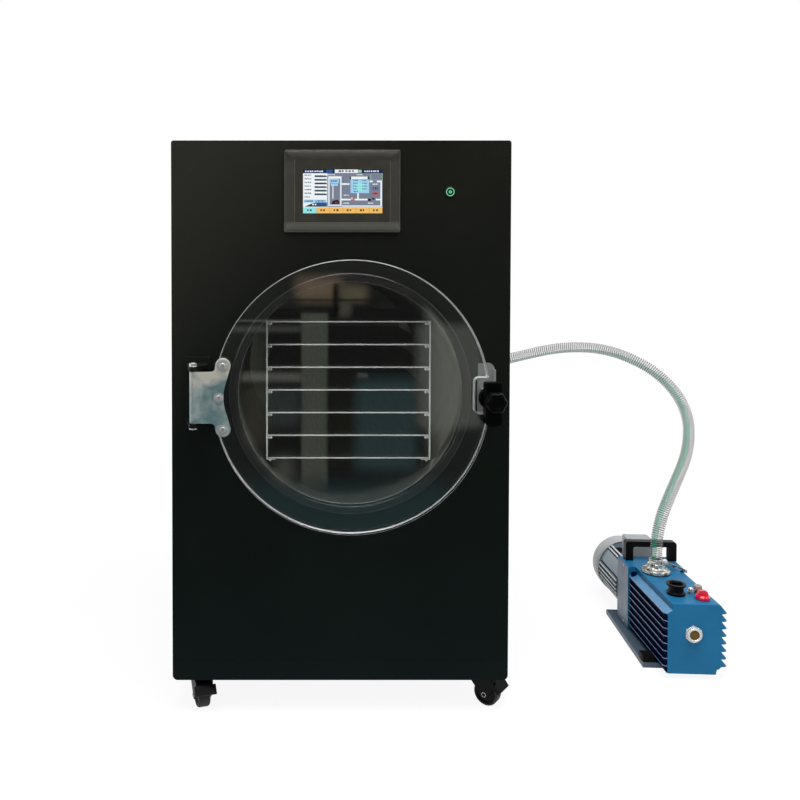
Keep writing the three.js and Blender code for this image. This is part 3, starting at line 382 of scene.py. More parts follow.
def hose_wall():
    """Clear plastic wall with dark ribs, and a green stripe along the inner side of the arch."""
    m = Nodes("hose_wall", (0.9, 0.92, 0.91), 0.16, IOR=1.5, Alpha=0.3)
    around = m.parts(m.add("TexCoord").outputs["UV"])
    stripe = m.math("COMPARE", around["X"], 0.5, HOSE_STRIPE)
    ribs = m.math("DIVIDE", around["Y"], HOSE_PITCH)
    rib = m.math("COMPARE", m.math("FRACT", ribs), 0.5, HOSE_RIB)
    cloudy = m.blend(m.cloud(60.0, 3.0), (0.90, 0.91, 0.90), (0.97, 0.97, 0.96))
    gap = m.blend(stripe, cloudy, (0.03, 0.42, 0.26))
    grey = m.blend(m.noise(25.0, 2.0), (0.09, 0.075, 0.075), (0.21, 0.19, 0.19))
    ring = m.blend(stripe, grey, (0.0, 0.09, 0.05))
    m.color(m.blend(rib, gap, ring))
    solid = m.math("MAXIMUM", m.math("MULTIPLY", stripe, 0.60), m.math("MULTIPLY", rib, 0.68))
    m.link(m.math("MAXIMUM", solid, 0.08), m.shader.inputs["Alpha"])
    return m.material


def tread():
    """Caster tread: black, dusty where it rolls."""
    m = Nodes("tread", (0.012, 0.012, 0.013), 0.55)
    dust = m.span(m.noise(70.0, 5.0, None, 0.7), 0.45, 0.75)
    m.color(m.blend(dust, (0.008, 0.008, 0.009), (0.045, 0.042, 0.038)))
    m.bump(m.noise(700.0, 3.0), 0.25)
    return m.material


def amber_oil():
    """Oil behind the sight glass: clear gold above its level, brown below."""
    m = Nodes("amber_oil", (0.10, 0.06, 0.015), 0.12, Specular_IOR_Level=0.25)
    level = m.span(m.axis("Z"), 0.090, 0.0935)
    shade = m.blend(m.cloud(160.0, 3.0), (0.050, 0.030, 0.006), (0.10, 0.058, 0.012))
    m.color(m.blend(level, shade, (0.16, 0.095, 0.022)))
    return m.material


MAT = {}  # each material with the record's slot that it belongs to


def keep(slot, **materials):
    for key, material in materials.items():
        MAT[key] = (material, slot)


EVEN = (300.0, 300.0, 300.0)  # a fine grain without direction
keep("powder_coat", coat=powder_coat())
keep(
    "stainless",
    chamber=brushed("chamber_steel", (0.34, 0.35, 0.31), 0.36, (5.0, 700.0, 5.0), 0.15, 0.3, 0.93),
    steel=brushed("satin_steel", (0.16, 0.165, 0.16), 0.3, (900.0, 900.0, 12.0), 0.12, 0.12, 0.9),
    # lit is a painted highlight: a near-white copy of the steel for faces to the front, standing in for edges
    # that catch the light.
    lit=brushed("painted_highlight_edge", (0.80, 0.82, 0.80), 0.3, (600.0, 20.0, 600.0), 0.1, 0.08, 0.1),
)
keep(
    "port_steel",
    bright=brushed("bright_steel", (0.80, 0.81, 0.80), 0.22, EVEN, 0.06, 0.06, 0.7),
    inlet=cast_steel(),
)
keep(
    "shelf_metal",
    shelf=brushed("shelf_plate", (0.11, 0.115, 0.11), 0.4, (900.0, 10.0, 900.0), 0.1, 0.08, 0.93),
)
keep(
    "zinc",
    zinc=passivated_zinc(),
    plate=brushed("latch_plate", (0.36, 0.38, 0.37), 0.42, (20.0, 20.0, 500.0), 0.12, 0.2, 0.5),
)
keep("copper", copper=brushed("copper_tube", (0.55, 0.26, 0.14), 0.3, EVEN))
keep("coil_fins", fins=brushed("cooling_fins", (0.55, 0.56, 0.57), 0.4, (1200.0, 6.0, 6.0), 0.5))
keep(
    "acrylic",
    acrylic=clear("acrylic", (0.97, 0.985, 0.975), 0.0, 0.02),
    edge=clear("acrylic_edge", (0.90, 0.93, 0.92), 0.3, 0.0, 0.74),
)
keep("seal_rubber", seal=plastic("seal_rubber", (0.006, 0.006, 0.006), 0.22, 500.0, 0.05))
keep("bezel_plastic", bezel=bezel_plastic())
keep(
    "screen_glass",
    film=plastic("bezel_film", (0.034, 0.032, 0.024), 0.4, 1500.0, 0.08),
    outline=plastic("bezel_outline", (0.13, 0.125, 0.10), 0.45),
)
keep(
    "black_plastic",
    black=plastic("black_plastic", (0.002, 0.002, 0.0024), 0.4, Specular_IOR_Level=0.16),
    knob=plastic("knob_plastic", (0.0, 0.0, 0.0), 0.42, Specular_IOR_Level=0.12),
    foot=plastic("foot_rubber", (0.002, 0.002, 0.0024), 0.6, 300.0, 0.3, Specular_IOR_Level=0.1),
)
keep(
    "button_plastic",
    button=plastic("button_plastic", (0.010, 0.011, 0.010), 0.3),
    halo=glow("button_halo", (0.0015, 0.016, 0.005)),
    green_core=glow("green_core", (0.045, 0.40, 0.17)),
    green_ring=glow("green_ring", (0.32, 0.80, 0.50)),
)
keep("tread_rubber", tread=tread())
keep(
    "pump_blue",
    blue=cast_paint("pump_blue", (0.018, 0.195, 0.405), 0.42, 0.012, 0.05),
    # Painted light: a lighter copy of the blue paint for the ledge strip that faces up to the lamp.
    ledge=cast_paint("pump_ledge", (0.085, 0.31, 0.58), 0.35),
    # Painted highlight: paler paint on the rib tips, standing in for edges that catch the light.
    worn=cast_paint("pump_worn_edge", (0.30, 0.44, 0.60), 0.4),
    # Painted shade: near-black navy paint for the gaps between the ribs and the box's underside.
    shade=cast_paint("pump_gap_painted_shade", (0.0, 0.006, 0.045), 0.6, 0.0, 0.01),
)
keep(
    "pump_grey",
    motor=cast_paint("motor_slate", (0.26, 0.33, 0.38), 0.4),
    # Painted highlight: near-white paint for the fin tips.
    fin=cast_paint("motor_fin_edge_painted_highlight", (0.85, 0.88, 0.88), 0.4),
    # Painted shade: near-black paint for the gaps between the fins.
    dark=cast_paint("motor_gap_painted_shade", (0.003, 0.004, 0.006), 0.6, 0.0, 0.01),
    box=cast_paint("terminal_grey", (0.38, 0.41, 0.43), 0.4),
    slate=cast_paint("pump_slate", (0.115, 0.175, 0.27), 0.42),
    grey=cast_paint("motor_grey", (0.55, 0.57, 0.57), 0.42),
    base=cast_paint("base_slate", (0.085, 0.13, 0.185), 0.5),
)
keep(
    "cap_red",
    red=plastic("red_plastic", (0.82, 0.006, 0.045), 0.22, 400.0, 0.04, Coat_Weight=0.6),
)
keep("knob_beige", beige=plastic("beige_plastic", (0.36, 0.32, 0.26), 0.45))
keep(
    "sight_metal",
    oil=amber_oil(),
    sight=brushed("sight_ring", (0.86, 0.86, 0.84), 0.25, EVEN, 0.06, 0.06, 0.4),
)
keep(
    "hose_pvc",
    hose=hose_wall(),
    wire=brushed("hose_wire", (0.34, 0.32, 0.32), 0.4, EVEN, 0.1, 0.1, 0.5),
)

# The colours of the display's picture.
UI = {
    "white": (0.88, 0.92, 0.96),
    "navy": (0.010, 0.022, 0.085),
    "blue": (0.030, 0.095, 0.27),
    "teal": (0.020, 0.055, 0.075),
    "slate": (0.20, 0.23, 0.30),
    "sky": (0.36, 0.64, 0.88),
    "cyan": (0.32, 0.80, 0.80),
    "gold": (0.90, 0.52, 0.13),
    "dark": (0.015, 0.015, 0.02),
    "red": (0.65, 0.08, 0.09),
    "green": (0.30, 0.62, 0.34),
}
for name, color in UI.items():
    keep("screen_glass", **{"ui_" + name: glow("ui_" + name, color)})

# ---- Mesh helpers ----


def oriented(axis, a, b, h):
    """A point from two coordinates across an axis and one along it."""
    if axis == "X":
        return Vector((h, a, b))
    if axis == "Y":
        return Vector((a, h, b))
    return Vector((a, b, h))


def round_corners(points, radius, steps=4):
    """A closed outline with its corners replaced by arcs. radius is one number, or one for each corner."""
    made = []
    count = len(points)
    for i, corner in enumerate(points):
        r = radius if isinstance(radius, (int, float)) else radius[i]
        p = Vector(corner)
        before = Vector(points[i - 1]) - p
        after = Vector(points[(i + 1) % count]) - p
        half = before.angle(after) / 2
        if r <= 0 or half > math.radians(89):
            made.append(tuple(p))
            continue
        reach = min(r / math.tan(half), before.length * 0.49, after.length * 0.49)
        middle = (before.normalized() + after.normalized()).normalized()
        centre = p + middle * (reach / math.cos(half))
        start = p + before.normalized() * reach - centre
        end = p + after.normalized() * reach - centre
        turn = math.atan2(start.x * end.y - start.y * end.x, start.dot(end))
        for k in range(steps + 1):
            made.append(tuple(centre + Matrix.Rotation(turn * k / steps, 2) @ start))
    return made


def arc(x, y, radius, start=0.0, end=360.0, steps=32):
    """Points on a circle, between two angles in degrees. A whole turn leaves out its last point."""
    whole = abs(end - start) > 359.99
    turns = [math.radians(start + (end - start) * k / steps) for k in range(steps + (0 if whole else 1))]
    return [(x + radius * math.cos(t), y + radius * math.sin(t)) for t in turns]


def rounded_box(x0, x1, y0, y1, radius, steps=5):
    return round_corners([(x0, y0), (x1, y0), (x1, y1), (x0, y1)], radius, steps)


def lathe(bm, profile, axis, centre, segments=64, material=0):
    """Turns a closed (radius, height) profile about an axis. It starts and ends on it, or has a bore."""
    rings = []
    for radius, height in profile:
        count = segments if radius > 1e-6 else 1
        turns = [2 * math.pi * k / segments for k in range(count)]
        spots = [oriented(axis, radius * math.cos(t), radius * math.sin(t), height) for t in turns]
        rings.append([bm.verts.new(Vector(centre) + spot) for spot in spots])
    bored = len(rings[0]) > 1
    pairs = list(zip(rings, rings[1:] + rings[:1])) if bored else list(zip(rings, rings[1:]))
    for low, high in pairs:
        for k in range(segments):
            n = (k + 1) % segments
            corners = [low[k % len(low)], low[n % len(low)], high[n % len(high)], high[k % len(high)]]
            unique = list(dict.fromkeys(corners))
            if len(unique) > 2:
                bm.faces.new(unique).material_index = material


def soft(profile, radius=0.5, steps=3):
    """A turning profile with round edges, except where it meets the axis."""
    return round_corners(profile, [radius if r > 1e-6 else 0 for r, _ in profile], steps)


def prism(bm, outline, axis, low, high, holes=(), material=0):
    """Extrudes an outline in the plane across an axis between two places on it. Holes are outlines too."""
    edges = []
    for loop in (outline, *holes):
        verts = [bm.verts.new(oriented(axis, a, b, low)) for a, b in loop]
        edges += [bm.edges.new((v, w)) for v, w in zip(verts, verts[1:] + verts[:1])]
    filled = bmesh.ops.triangle_fill(bm, use_beauty=True, use_dissolve=False, edges=edges)
    faces = [f for f in filled["geom"] if isinstance(f, bmesh.types.BMFace)]
    grown = bmesh.ops.extrude_face_region(bm, geom=faces, use_keep_orig=True)
    top = [v for v in grown["geom"] if isinstance(v, bmesh.types.BMVert)]
    bmesh.ops.translate(bm, verts=top, vec=oriented(axis, 0, 0, high - low))
    for face in {f for v in top for f in v.link_faces} | set(faces):
        face.material_index = material


def block(bm, x0, x1, y0, y1, z0, z1, material=0):
    prism(bm, [(x0, y0), (x1, y0), (x1, y1), (x0, y1)], "Z", z0, z1, (), material)


def skin(bm, rings):
    """Faces between rings of as many vertices each, with the number of the ring and of the side."""
    for i, (low, high) in enumerate(zip(rings, rings[1:])):
        for k in range(len(low)):
            n = (k + 1) % len(low)
            yield i, k, bm.faces.new((low[k], low[n], high[n], high[k]))


def loft(bm, sections, materials=None):
    """A closed body through sections, which are lists of as many points each, with a face over each end.

    materials has one index for each side of the section."""
    rings = [[bm.verts.new(Vector(p)) for p in section] for section in sections]
    for _, k, face in skin(bm, rings):
        face.material_index = materials[k] if materials else 0
    bm.faces.new(rings[0])
    bm.faces.new(rings[-1])


def head_screw(bm, axis, centre, radius, height, side, material=0):
    """A socket head: a rounded drum with a round recess, facing along side (1 or -1) of the axis."""
    shares = ((0, 0), (1, 0), (1, 0.8), (0.88, 1), (0.5, 1), (0.5, 0.45), (0, 0.45))
    profile = [(radius * r, height * side * h) for r, h in shares]
    lathe(bm, profile, axis, centre, 24, material)


def hex_head(bm, axis, centre, radius, low, high, material=0):
    """A hexagonal head or nut."""
    a, b = {"X": (centre[1], centre[2]), "Y": (centre[0], centre[2]), "Z": (centre[0], centre[1])}[axis]
    prism(bm, arc(a, b, radius, 0, 360, 6), axis, low, high, (), material)


def mesh_of(name, bm):
    mesh = bpy.data.meshes.new(name)
    bm.to_mesh(mesh)
    bm.free()
    return mesh


def finish_piece(
    name, bm, materials, place=CABINET, body="cabinet", replaces=(), smooth=32, bevel=0.0, steps=2,
):
    """Makes an object of a mesh in millimetres, with its edges rounded by bevel, and puts it on its body.

    smooth is the angle in degrees from which an edge is sharp, and steps the number of a bevel's segments."""
    bmesh.ops.remove_doubles(bm, verts=bm.verts, dist=1e-3)
    bmesh.ops.recalc_face_normals(bm, faces=bm.faces)
    bmesh.ops.transform(bm, matrix=place, verts=bm.verts)
    mesh = mesh_of(name, bm)
    obj = placed(name, mesh)
    for key in materials:
        mesh.materials.append(MAT[key][0])
    mesh.polygons.foreach_set("use_smooth", [True] * len(mesh.polygons))
    mesh.set_sharp_from_angle(angle=math.radians(smooth))
    if bevel:
        edge = obj.modifiers.new("edges", "BEVEL")
        edge.width = bevel / 1000
        edge.segments = steps
        edge.limit_method = "ANGLE"
        edge.angle_limit = math.radians(30)
        edge.harden_normals = True
    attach(obj, body)
    if replaces:
        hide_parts(*replaces)
    return obj


def refined(node, materials, bevel, steps=2, level=None):
    """The CAD node again, with its flat faces whole and its edges rounded.

    A second material is for faces to the front, and a third for what is below level, if it is given."""
    bm = bmesh.new()
    bm.from_mesh(frame["nodes"][node].data)
    bmesh.ops.remove_doubles(bm, verts=bm.verts, dist=2e-6)
    bmesh.ops.dissolve_limit(bm, angle_limit=math.radians(0.6), verts=bm.verts, edges=bm.edges)
    bmesh.ops.transform(bm, matrix=CABINET.inverted(), verts=bm.verts)
    bm.normal_update()
    if level:
        every = bm.verts[:] + bm.edges[:] + bm.faces[:]
        bmesh.ops.bisect_plane(bm, geom=every, plane_co=(0, 0, level), plane_no=(0, 0, 1))
    for face in bm.faces:
        if level and face.calc_center_median().z < level:
            face.material_index = 2
        elif len(materials) > 1 and face.normal.y < -0.7:
            face.material_index = 1
    body = frame["nodes"][node]["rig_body"]
    return finish_piece(
        node + "_fine", bm, materials, body=body, replaces=(node,), bevel=bevel, steps=steps,
    )


# ---- Hose ----


def smooth_line(points, steps):
    """The centripetal Catmull-Rom curve through points."""
    made = []
    for i in range(len(points) - 1):
        p1 = points[i]
        p2 = points[i + 1]
        p0 = points[i - 1] if i else 2 * p1 - p2
        p3 = points[i + 2] if i + 2 < len(points) else 2 * p2 - p1
        d0 = math.sqrt((p1 - p0).length)
        d1 = math.sqrt((p2 - p1).length)
        d2 = math.sqrt((p3 - p2).length)
        m1 = ((p1 - p0) / d0 - (p2 - p0) / (d0 + d1) + (p2 - p1) / d1) * d1
        m2 = ((p2 - p1) / d1 - (p3 - p1) / (d1 + d2) + (p3 - p2) / d2) * d1
        for k in range(steps):
            t = k / steps
            cube = (2 * p1 - 2 * p2 + m1 + m2) * t**3
            square = (3 * p2 - 3 * p1 - 2 * m1 - m2) * t**2
            made.append(p1 + m1 * t + square + cube)
    made.append(points[-1].copy())
    return made


def even_line(points, spacing):
    """The same line with its points about one spacing apart, and its length."""
    lengths = [0.0]
    for a, b in zip(points, points[1:]):
        lengths.append(lengths[-1] + (b - a).length)
    count = round(lengths[-1] / spacing)
    made = []
    i = 0
    for k in range(count + 1):
        want = lengths[-1] * k / count
        while i < len(lengths) - 2 and lengths[i + 1] < want:
            i += 1
        share = (want - lengths[i]) / (lengths[i + 1] - lengths[i])
        made.append(points[i].lerp(points[i + 1], share))
    return made, lengths[-1]


def frames_along(line, first_side):
    """(point, side, up) at each point of a line, turned as little as possible from one to the next."""
    made = []
    side = first_side
    for i, point in enumerate(line):
        ahead = (line[min(i + 1, len(line) - 1)] - line[max(i - 1, 0)]).normalized()
        side = (side - ahead * side.dot(ahead)).normalized()
        made.append((point, side, ahead.cross(side)))
    return made


def tube_wall(bm, frames, radius, spacing, sides=28):
    """A hose's wall, slightly proud over the wire's turns. u runs round it and v along it."""
    proud = 0.0004
    uv = bm.loops.layers.uv.new("around")
    rings = []
    for i, (point, side, up) in enumerate(frames):
        ring = []
        for k in range(sides):
            turn = 2 * math.pi * k / sides
            ridge = math.cos(2 * math.pi * i * spacing / HOSE_PITCH - turn)
            out = radius - proud + proud * ridge
            ring.append(bm.verts.new(point + (side * math.cos(turn) + up * math.sin(turn)) * out))
        rings.append(ring)
    for i, k, face in skin(bm, rings):
        spots = ((k, i), (k + 1, i), (k + 1, i + 1), (k, i + 1))
        for loop, (around, along) in zip(face.loops, spots):
            twist = HOSE_TWIST * min(max(2.5 * along / len(rings) - 0.6, 0), 1)
            loop[uv].uv = (around / sides + twist, along * spacing)


def tube_wire(bm, frames, radius, spacing, thick=0.0003, sides=5):
    """The steel helix inside the wall."""
    rings = []
    for i, (point, side, up) in enumerate(frames):
        turn = 2 * math.pi * i * spacing / HOSE_PITCH
        out = side * math.cos(turn) + up * math.sin(turn)
        along = side.cross(up)
        ring = []
        for k in range(sides):
            a = 2 * math.pi * k / sides
            reach = radius + thick * math.cos(a)
            ring.append(point + out * reach + along * thick * math.sin(a))
        rings.append(ring)
    loft(bm, rings)


def in_metres(name, bm, material, smooth=60):
    """A mesh already in metres and in the row's frame, on the cabinet."""
    for vert in bm.verts:
        vert.co = CABINET.inverted() @ vert.co
    return finish_piece(name, bm, [material], smooth=smooth)


def make_hose():
    curve = smooth_line([ORIGIN + Vector(p) for p in HOSE_ROUTE], 40)
    outer_side = Vector((0, 0.8, 1)).normalized()
    spacing = HOSE_PITCH / 6  # of the wall's rings
    line, length = even_line(curve, spacing)
    bm = bmesh.new()
    tube_wall(bm, frames_along(line, outer_side), HOSE_DIAMETER / 2, spacing)
    wall = in_metres("hose_wall", bm, "hose")
    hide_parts("vacuum_hose")
    spacing = HOSE_PITCH / 16
    wire_line, _ = even_line(curve, spacing)
    short = 12  # steps that the wire ends before the wall does
    bm = bmesh.new()
    tube_wire(bm, frames_along(wire_line[short:-short], outer_side), HOSE_DIAMETER / 2 - 0.0017, spacing)
    wire = in_metres("hose_wire", bm, "wire")


make_hose()

# ---- Cabinet and chamber ----


def make_cabinet():
    panels = ("front_panel", "top_cover", "left_side_panel", "right_side_panel", "back_panel", "base_frame")
    for node in panels:
        refined(node, ["coat"], 0.6)


def make_chamber():
    bm = bmesh.new()
    wall = BORE + 3
    profile = [
        (0, DEPTH), (BORE, DEPTH), (BORE, -14), (FLANGE, -14), (FLANGE, -10), (wall, -10), (wall, DEPTH + 6),
        (0, DEPTH + 6),
    ]
    radii = [0, 5, 0.8, 0.8, 0.5, 0.5, 2, 0]
    lathe(bm, round_corners(profile, radii, 5), "Y", (CHAMBER_X, 0, CHAMBER_Z), 160)
    finish_piece("chamber_fine", bm, ["chamber"], replaces=("chamber",))


def make_seal():
    bm = bmesh.new()
    inner = BORE + 1
    outer = FLANGE + 2.8
    lip = FLANGE + 0.3
    profile = [(inner, -14.3), (inner, SEAL_FRONT), (outer, SEAL_FRONT), (outer, -1), (lip, -1), (lip, -14.3)]
    radii = [0.4, 5, 5, 0.8, 0.4, 0.4]
    lathe(bm, round_corners(profile, radii, 6), "Y", (CHAMBER_X, 0, CHAMBER_Z), 160)
    finish_piece("door_seal_fine", bm, ["seal"], replaces=("door_seal",), smooth=50)


def make_rack():
    lowest = CHAMBER_Z - (SHELVES - 1) / 2 * PITCH - 3
    # The faces to the front of the rack and of each shelf take the painted highlight.
    refined("rack_frame", ["steel", "lit", "coat"], 0.4, 2, lowest)
    for i in range(SHELVES):
        refined(f"shelf_{i + 1}", ["shelf", "lit"], 0.5)
    low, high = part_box("rack_frame")
    half = (high.x - low.x) * 500
    bm = bmesh.new()
    for i in range(SHELVES):
        z = CHAMBER_Z + (i - (SHELVES - 1) / 2) * PITCH - 4.2
        for side in (-1, 1):
            profile = [(0, 22), (2.4, 22), (2.4, 20.9), (1.6, 20.1), (0, 20.0)]
            lathe(bm, profile, "Y", (CHAMBER_X + side * (half - 7.5), 0, z), 20)
    finish_piece("rack_screws", bm, ["bright"])


make_cabinet()
make_chamber()
make_seal()
make_rack()

# ---- Door ----


def disc_outline(inset):
    """The disc's outline drawn in by inset: a circle's rim, and the notch at its right side."""
    radius = DISC_R - inset
    low = NOTCH_Z - DISC_Z - 33.5 - inset
    high = NOTCH_Z - DISC_Z + 33.5 + inset
    edge = NOTCH_EDGE - inset
    corner = 8 + inset
    lip = 2.0
    start = math.degrees(math.asin((high + lip) / radius))
    end = 360 + math.degrees(math.asin((low - lip) / radius))
    rim = arc(DISC_X, DISC_Z, radius, start, end, 200)
    x_low = DISC_X + math.sqrt(radius**2 - low**2) - lip
    x_high = DISC_X + math.sqrt(radius**2 - high**2) - lip
    notch = [(x_low, DISC_Z + low)] + arc(edge + corner, DISC_Z + low + corner, corner, 270, 180, 8)
    notch += arc(edge + corner, DISC_Z + high - corner, corner, 180, 90, 8) + [(x_high, DISC_Z + high)]
    return rim, notch


def make_disc():
    bm = bmesh.new()
    rings = []
    for inset, y in ((1.5, DISC_FRONT), (0, DISC_FRONT + 1.5), (0, DISC_BACK - 1.5), (1.5, DISC_BACK)):
        rim, notch = disc_outline(inset)
        rings.append([bm.verts.new((x, y, z)) for x, z in rim + notch])
    for row, k, face in skin(bm, rings):
        face.material_index = int(row != 1 or k >= len(rim))  # frosted, and clear on the rim's middle
    bm.faces.new(rings[0])
    bm.faces.new(rings[-1])
    finish_piece("door_disc_fine", bm, ["acrylic", "edge"], body="door", replaces=("door_disc",))


def leaf_outline():
    """The hinge leaf in (x, z): a plate with two round lobes and a hollow edge between them."""
    lobe = HINGE_X + 57
    low, high = HINGE_Z - 60, HINGE_Z + 61
    right = HINGE_X + 58
    outline = [(HINGE_X, HINGE_Z - 49)] + arc(HINGE_X + 33, HINGE_Z - 59, 10, 90, 30, 6)
    outline += arc(lobe, low, 14.5, 190, 368, 24)
    outline += [(right + 6.5 * (k / 5) ** 2, HINGE_Z + 34 * k / 5) for k in range(-5, 6)]
    outline += arc(lobe, high, 14.5, -8, 170, 24)
    outline += arc(HINGE_X + 33, HINGE_Z + 59, 10, -30, -90, 6) + [(HINGE_X, HINGE_Z + 49)]
    return outline


HINGE_BOLTS = ((-227, 698, 11.5), (-235, 637, 9.5), (-227, 577, 9.0))  # x, z and the washer's radius


def make_hinge():
    bm = bmesh.new()
    holes = [arc(x, z, 3.2, 0, 360, 16) for x, z, _ in HINGE_BOLTS]
    prism(bm, leaf_outline(), "Y", LEAF_FRONT, LEAF_BACK, holes)
    lathe(bm, [(4.4, -49), (7, -49), (7, 49), (4.4, 49)], "Z", (HINGE_X, HINGE_Y, HINGE_Z), 40)
    finish_piece("hinge_leaf_fine", bm, ["zinc"], body="door", replaces=("hinge_leaf",), bevel=0.5)
    bm = bmesh.new()
    for x, z, washer in HINGE_BOLTS:
        profile = [(3.2, 0), (washer, 0), (washer, -1.4), (3.2, -1.4)]
        lathe(bm, soft(profile, 0.3, 2), "Y", (x, LEAF_FRONT, z), 40)
        head_screw(bm, "Y", (x, LEAF_FRONT - 1.4, z), 5.2, 5, -1)
        lathe(bm, [(0, 0), (3, 0), (3, 26), (0, 26)], "Y", (x, LEAF_FRONT - 1.4, z), 24)
    finish_piece("hinge_bolts", bm, ["bright"], body="door")
    refined("hinge_bracket", ["coat"], 0.6)
    make_hinge_pin()


def make_hinge_pin():
    bm = bmesh.new()
    spot = (HINGE_X, HINGE_Y, 0)
    lathe(bm, soft([(0, 575), (4, 575), (4, 703), (0, 703)], 0.8), "Z", spot, 24)
    for low, high in ((695.3, 697), (576.2, 578.7)):
        lathe(bm, soft([(4, low), (7.6, low), (7.6, high), (4, high)], 0.3, 2), "Z", spot, 32)
    hex_head(bm, "Z", spot, 7.4, 697, 702)
    finish_piece("hinge_pin_fine", bm, ["bright"], replaces=("hinge_pin",), bevel=0.4)


def make_latch():
    refined("latch_bracket", ["plate"], 0.6)
    bm = bmesh.new()
    profile = [(0, 617.6), (4, 617.6), (4, 645.3), (6, 645.3), (6, 647.8), (4.6, 648.8), (0, 648.8)]
    lathe(bm, soft(profile, 0.4), "Z", (LATCH_X, LATCH_Y, 0), 32)
    finish_piece("latch_pin_fine", bm, ["bright"], replaces=("latch_pin",))
    bm = bmesh.new()
    lathe(bm, soft([(4.4, -7), (9, -7), (9, 7), (4.4, 7)], 0.8), "Z", (LATCH_X, LATCH_Y, LATCH_Z), 40)
    lathe(bm, soft([(0, -96), (5, -96), (5, -34), (0, -34)], 0.8), "Y", (LATCH_X, 0, LATCH_Z), 32)
    finish_piece("swing_bolt_fine", bm, ["bright"], body="swing_bolt", replaces=("swing_bolt",))
    make_clamp_bar()
    make_knob()


def make_clamp_bar():
    back, front = DISC_FRONT - 0.3, DISC_FRONT - 22.3
    bore = arc(LATCH_X, LATCH_Z, 5.4, 0, 360, 24)
    bm = bmesh.new()
    outline = round_corners([(266, 586), (296, 586), (296, 668), (266, 668)], [9, 9, 4, 4], 6)
    prism(bm, outline, "Y", front, back, (bore,))
    finish_piece(
        "clamp_bar_fine", bm, ["knob"], body="clamp_bar", replaces=("clamp_bar",), bevel=1.2, steps=3,
    )
    bm = bmesh.new()
    profile = [(5.4, back), (21, back), (21, back + 15.5), (5.4, back + 15.5)]
    lathe(bm, soft(profile, 1.2), "Y", (LATCH_X, 0, LATCH_Z), 64)
    finish_piece("clamp_hub", bm, ["knob"], body="clamp_bar")


def make_knob():
    """Six shallow lobes whose front edge is rounded over, with a cap in a shallow recess."""
    back, front = DISC_FRONT - 22.6, DISC_FRONT - 48.6
    steps = 96

    def ring(radius, y):
        made = []
        for k in range(steps):
            turn = 2 * math.pi * k / steps
            r = radius + 1.2 * math.cos(6 * turn) * radius / 18.8
            made.append((LATCH_X + r * math.cos(turn), y, LATCH_Z + r * math.sin(turn)))
        return made

    profile = [
        (11, back), (17.6, back), (18.5, back - 1.2), (18.8, back - 4), (18.8, front + 5),
        (18.3, front + 2.4), (16.8, front + 0.6), (14.5, front), (10.5, front), (10, front + 1),
        (9.5, front + 1.2), (2, front + 0.8),
    ]
    bm = bmesh.new()
    loft(bm, [ring(r, y) for r, y in profile])
    finish_piece("latch_knob_fine", bm, ["knob"], body="latch_knob", replaces=("latch_knob",), smooth=40)


make_disc()
make_hinge()
make_latch()

# ---- Operator panel ----


def make_bezel():
    """A frame with a sloping edge, a flat rim and a shallow step down to the film."""
    bm = bmesh.new()
    sections = []
    for inset, y in ((1, -0.4), (0, -1.0), (0, -1.6), (4.2, -5.6), (5, -6), (18.6, -6), (19.2, -5.2)):
        box = rounded_box(
            SCREEN_X - 113 + inset, SCREEN_X + 113 - inset, SCREEN_Z - 80 + inset, SCREEN_Z + 80 - inset,
            max(3.5 - inset * 0.15, 1), 4,
        )
        sections.append([(x, y, z) for x, z in box])
    loft(bm, sections)
    finish_piece("screen_frame", bm, ["bezel"], smooth=25)
    bm = bmesh.new()
    prism(bm, rounded_box(SCREEN_X - 95.5, SCREEN_X + 95.5, SCREEN_Z - 66, SCREEN_Z + 66, 2), "Y", 0.5, 35)
    finish_piece("screen_body", bm, ["bezel"], replaces=("screen_housing",), bevel=0.8)


def outline_frame(bm, x0, x1, z0, z1, width, low, high, radius, material=0):
    hole = rounded_box(x0 + width, x1 - width, z0 + width, z1 - width, radius)
    prism(bm, rounded_box(x0, x1, z0, z1, radius + width), "Y", low, high, (hole,), material)


def make_film():
    bm = bmesh.new()
    x, z = SCREEN_X, SCREEN_Z
    prism(bm, rounded_box(x - 93.5, x + 93.5, z - 62, z + 62, 1.5), "Y", -5.5, -4.3)
    outline_frame(bm, x - 93.2, x + 93.2, z - 61.7, z + 61.7, 0.9, -5.62, -5.45, 1.5, 1)
    outline_frame(bm, x - 111.5, x + 111.5, z - 78.5, z + 78.5, 0.7, -5.2, -2.0, 3, 1)
    finish_piece("touch_film", bm, ["film", "outline"], replaces=("touch_screen",))


class Display:
    """Fields of a picture, in millimetres from the display's lower left corner, each on top of the last."""

    WIDTH, HEIGHT = 154, 85
    LAYER = 0.0012  # from one field's front to the next one's

    def __init__(self):
        self.bm = bmesh.new()
        self.front = -5.5

    def shape(self, color, points):
        x0, z0 = SCREEN_X - self.WIDTH / 2 + 0.7, SCREEN_Z - self.HEIGHT / 2 - 0.7
        outline = [(x0 + x, z0 + z) for x, z in points]
        self.front -= self.LAYER
        prism(self.bm, outline, "Y", self.front, -5.4, (), list(UI).index(color))

    def field(self, color, x, z, width, height):
        self.shape(color, [(x, z), (x + width, z), (x + width, z + height), (x, z + height)])

    def marks(self, color, x, z, width, height, count, seed):
        """A row of dabs of uneven width, where a display has words."""
        chance = random.Random(seed)
        step = width / count
        for i in range(count):
            wide = step * chance.uniform(0.45, 0.8)
            tall = height * chance.uniform(0.7, 1.0)
            self.field(color, x + i * step, z + chance.uniform(0, height - tall), wide, tall)

    def draw(self, *rows):
        """A field for each row, or marks where a row goes on with their count and seed."""
        for row in rows:
            if len(row) == 5:
                self.field(*row)
            else:
                self.marks(*row)


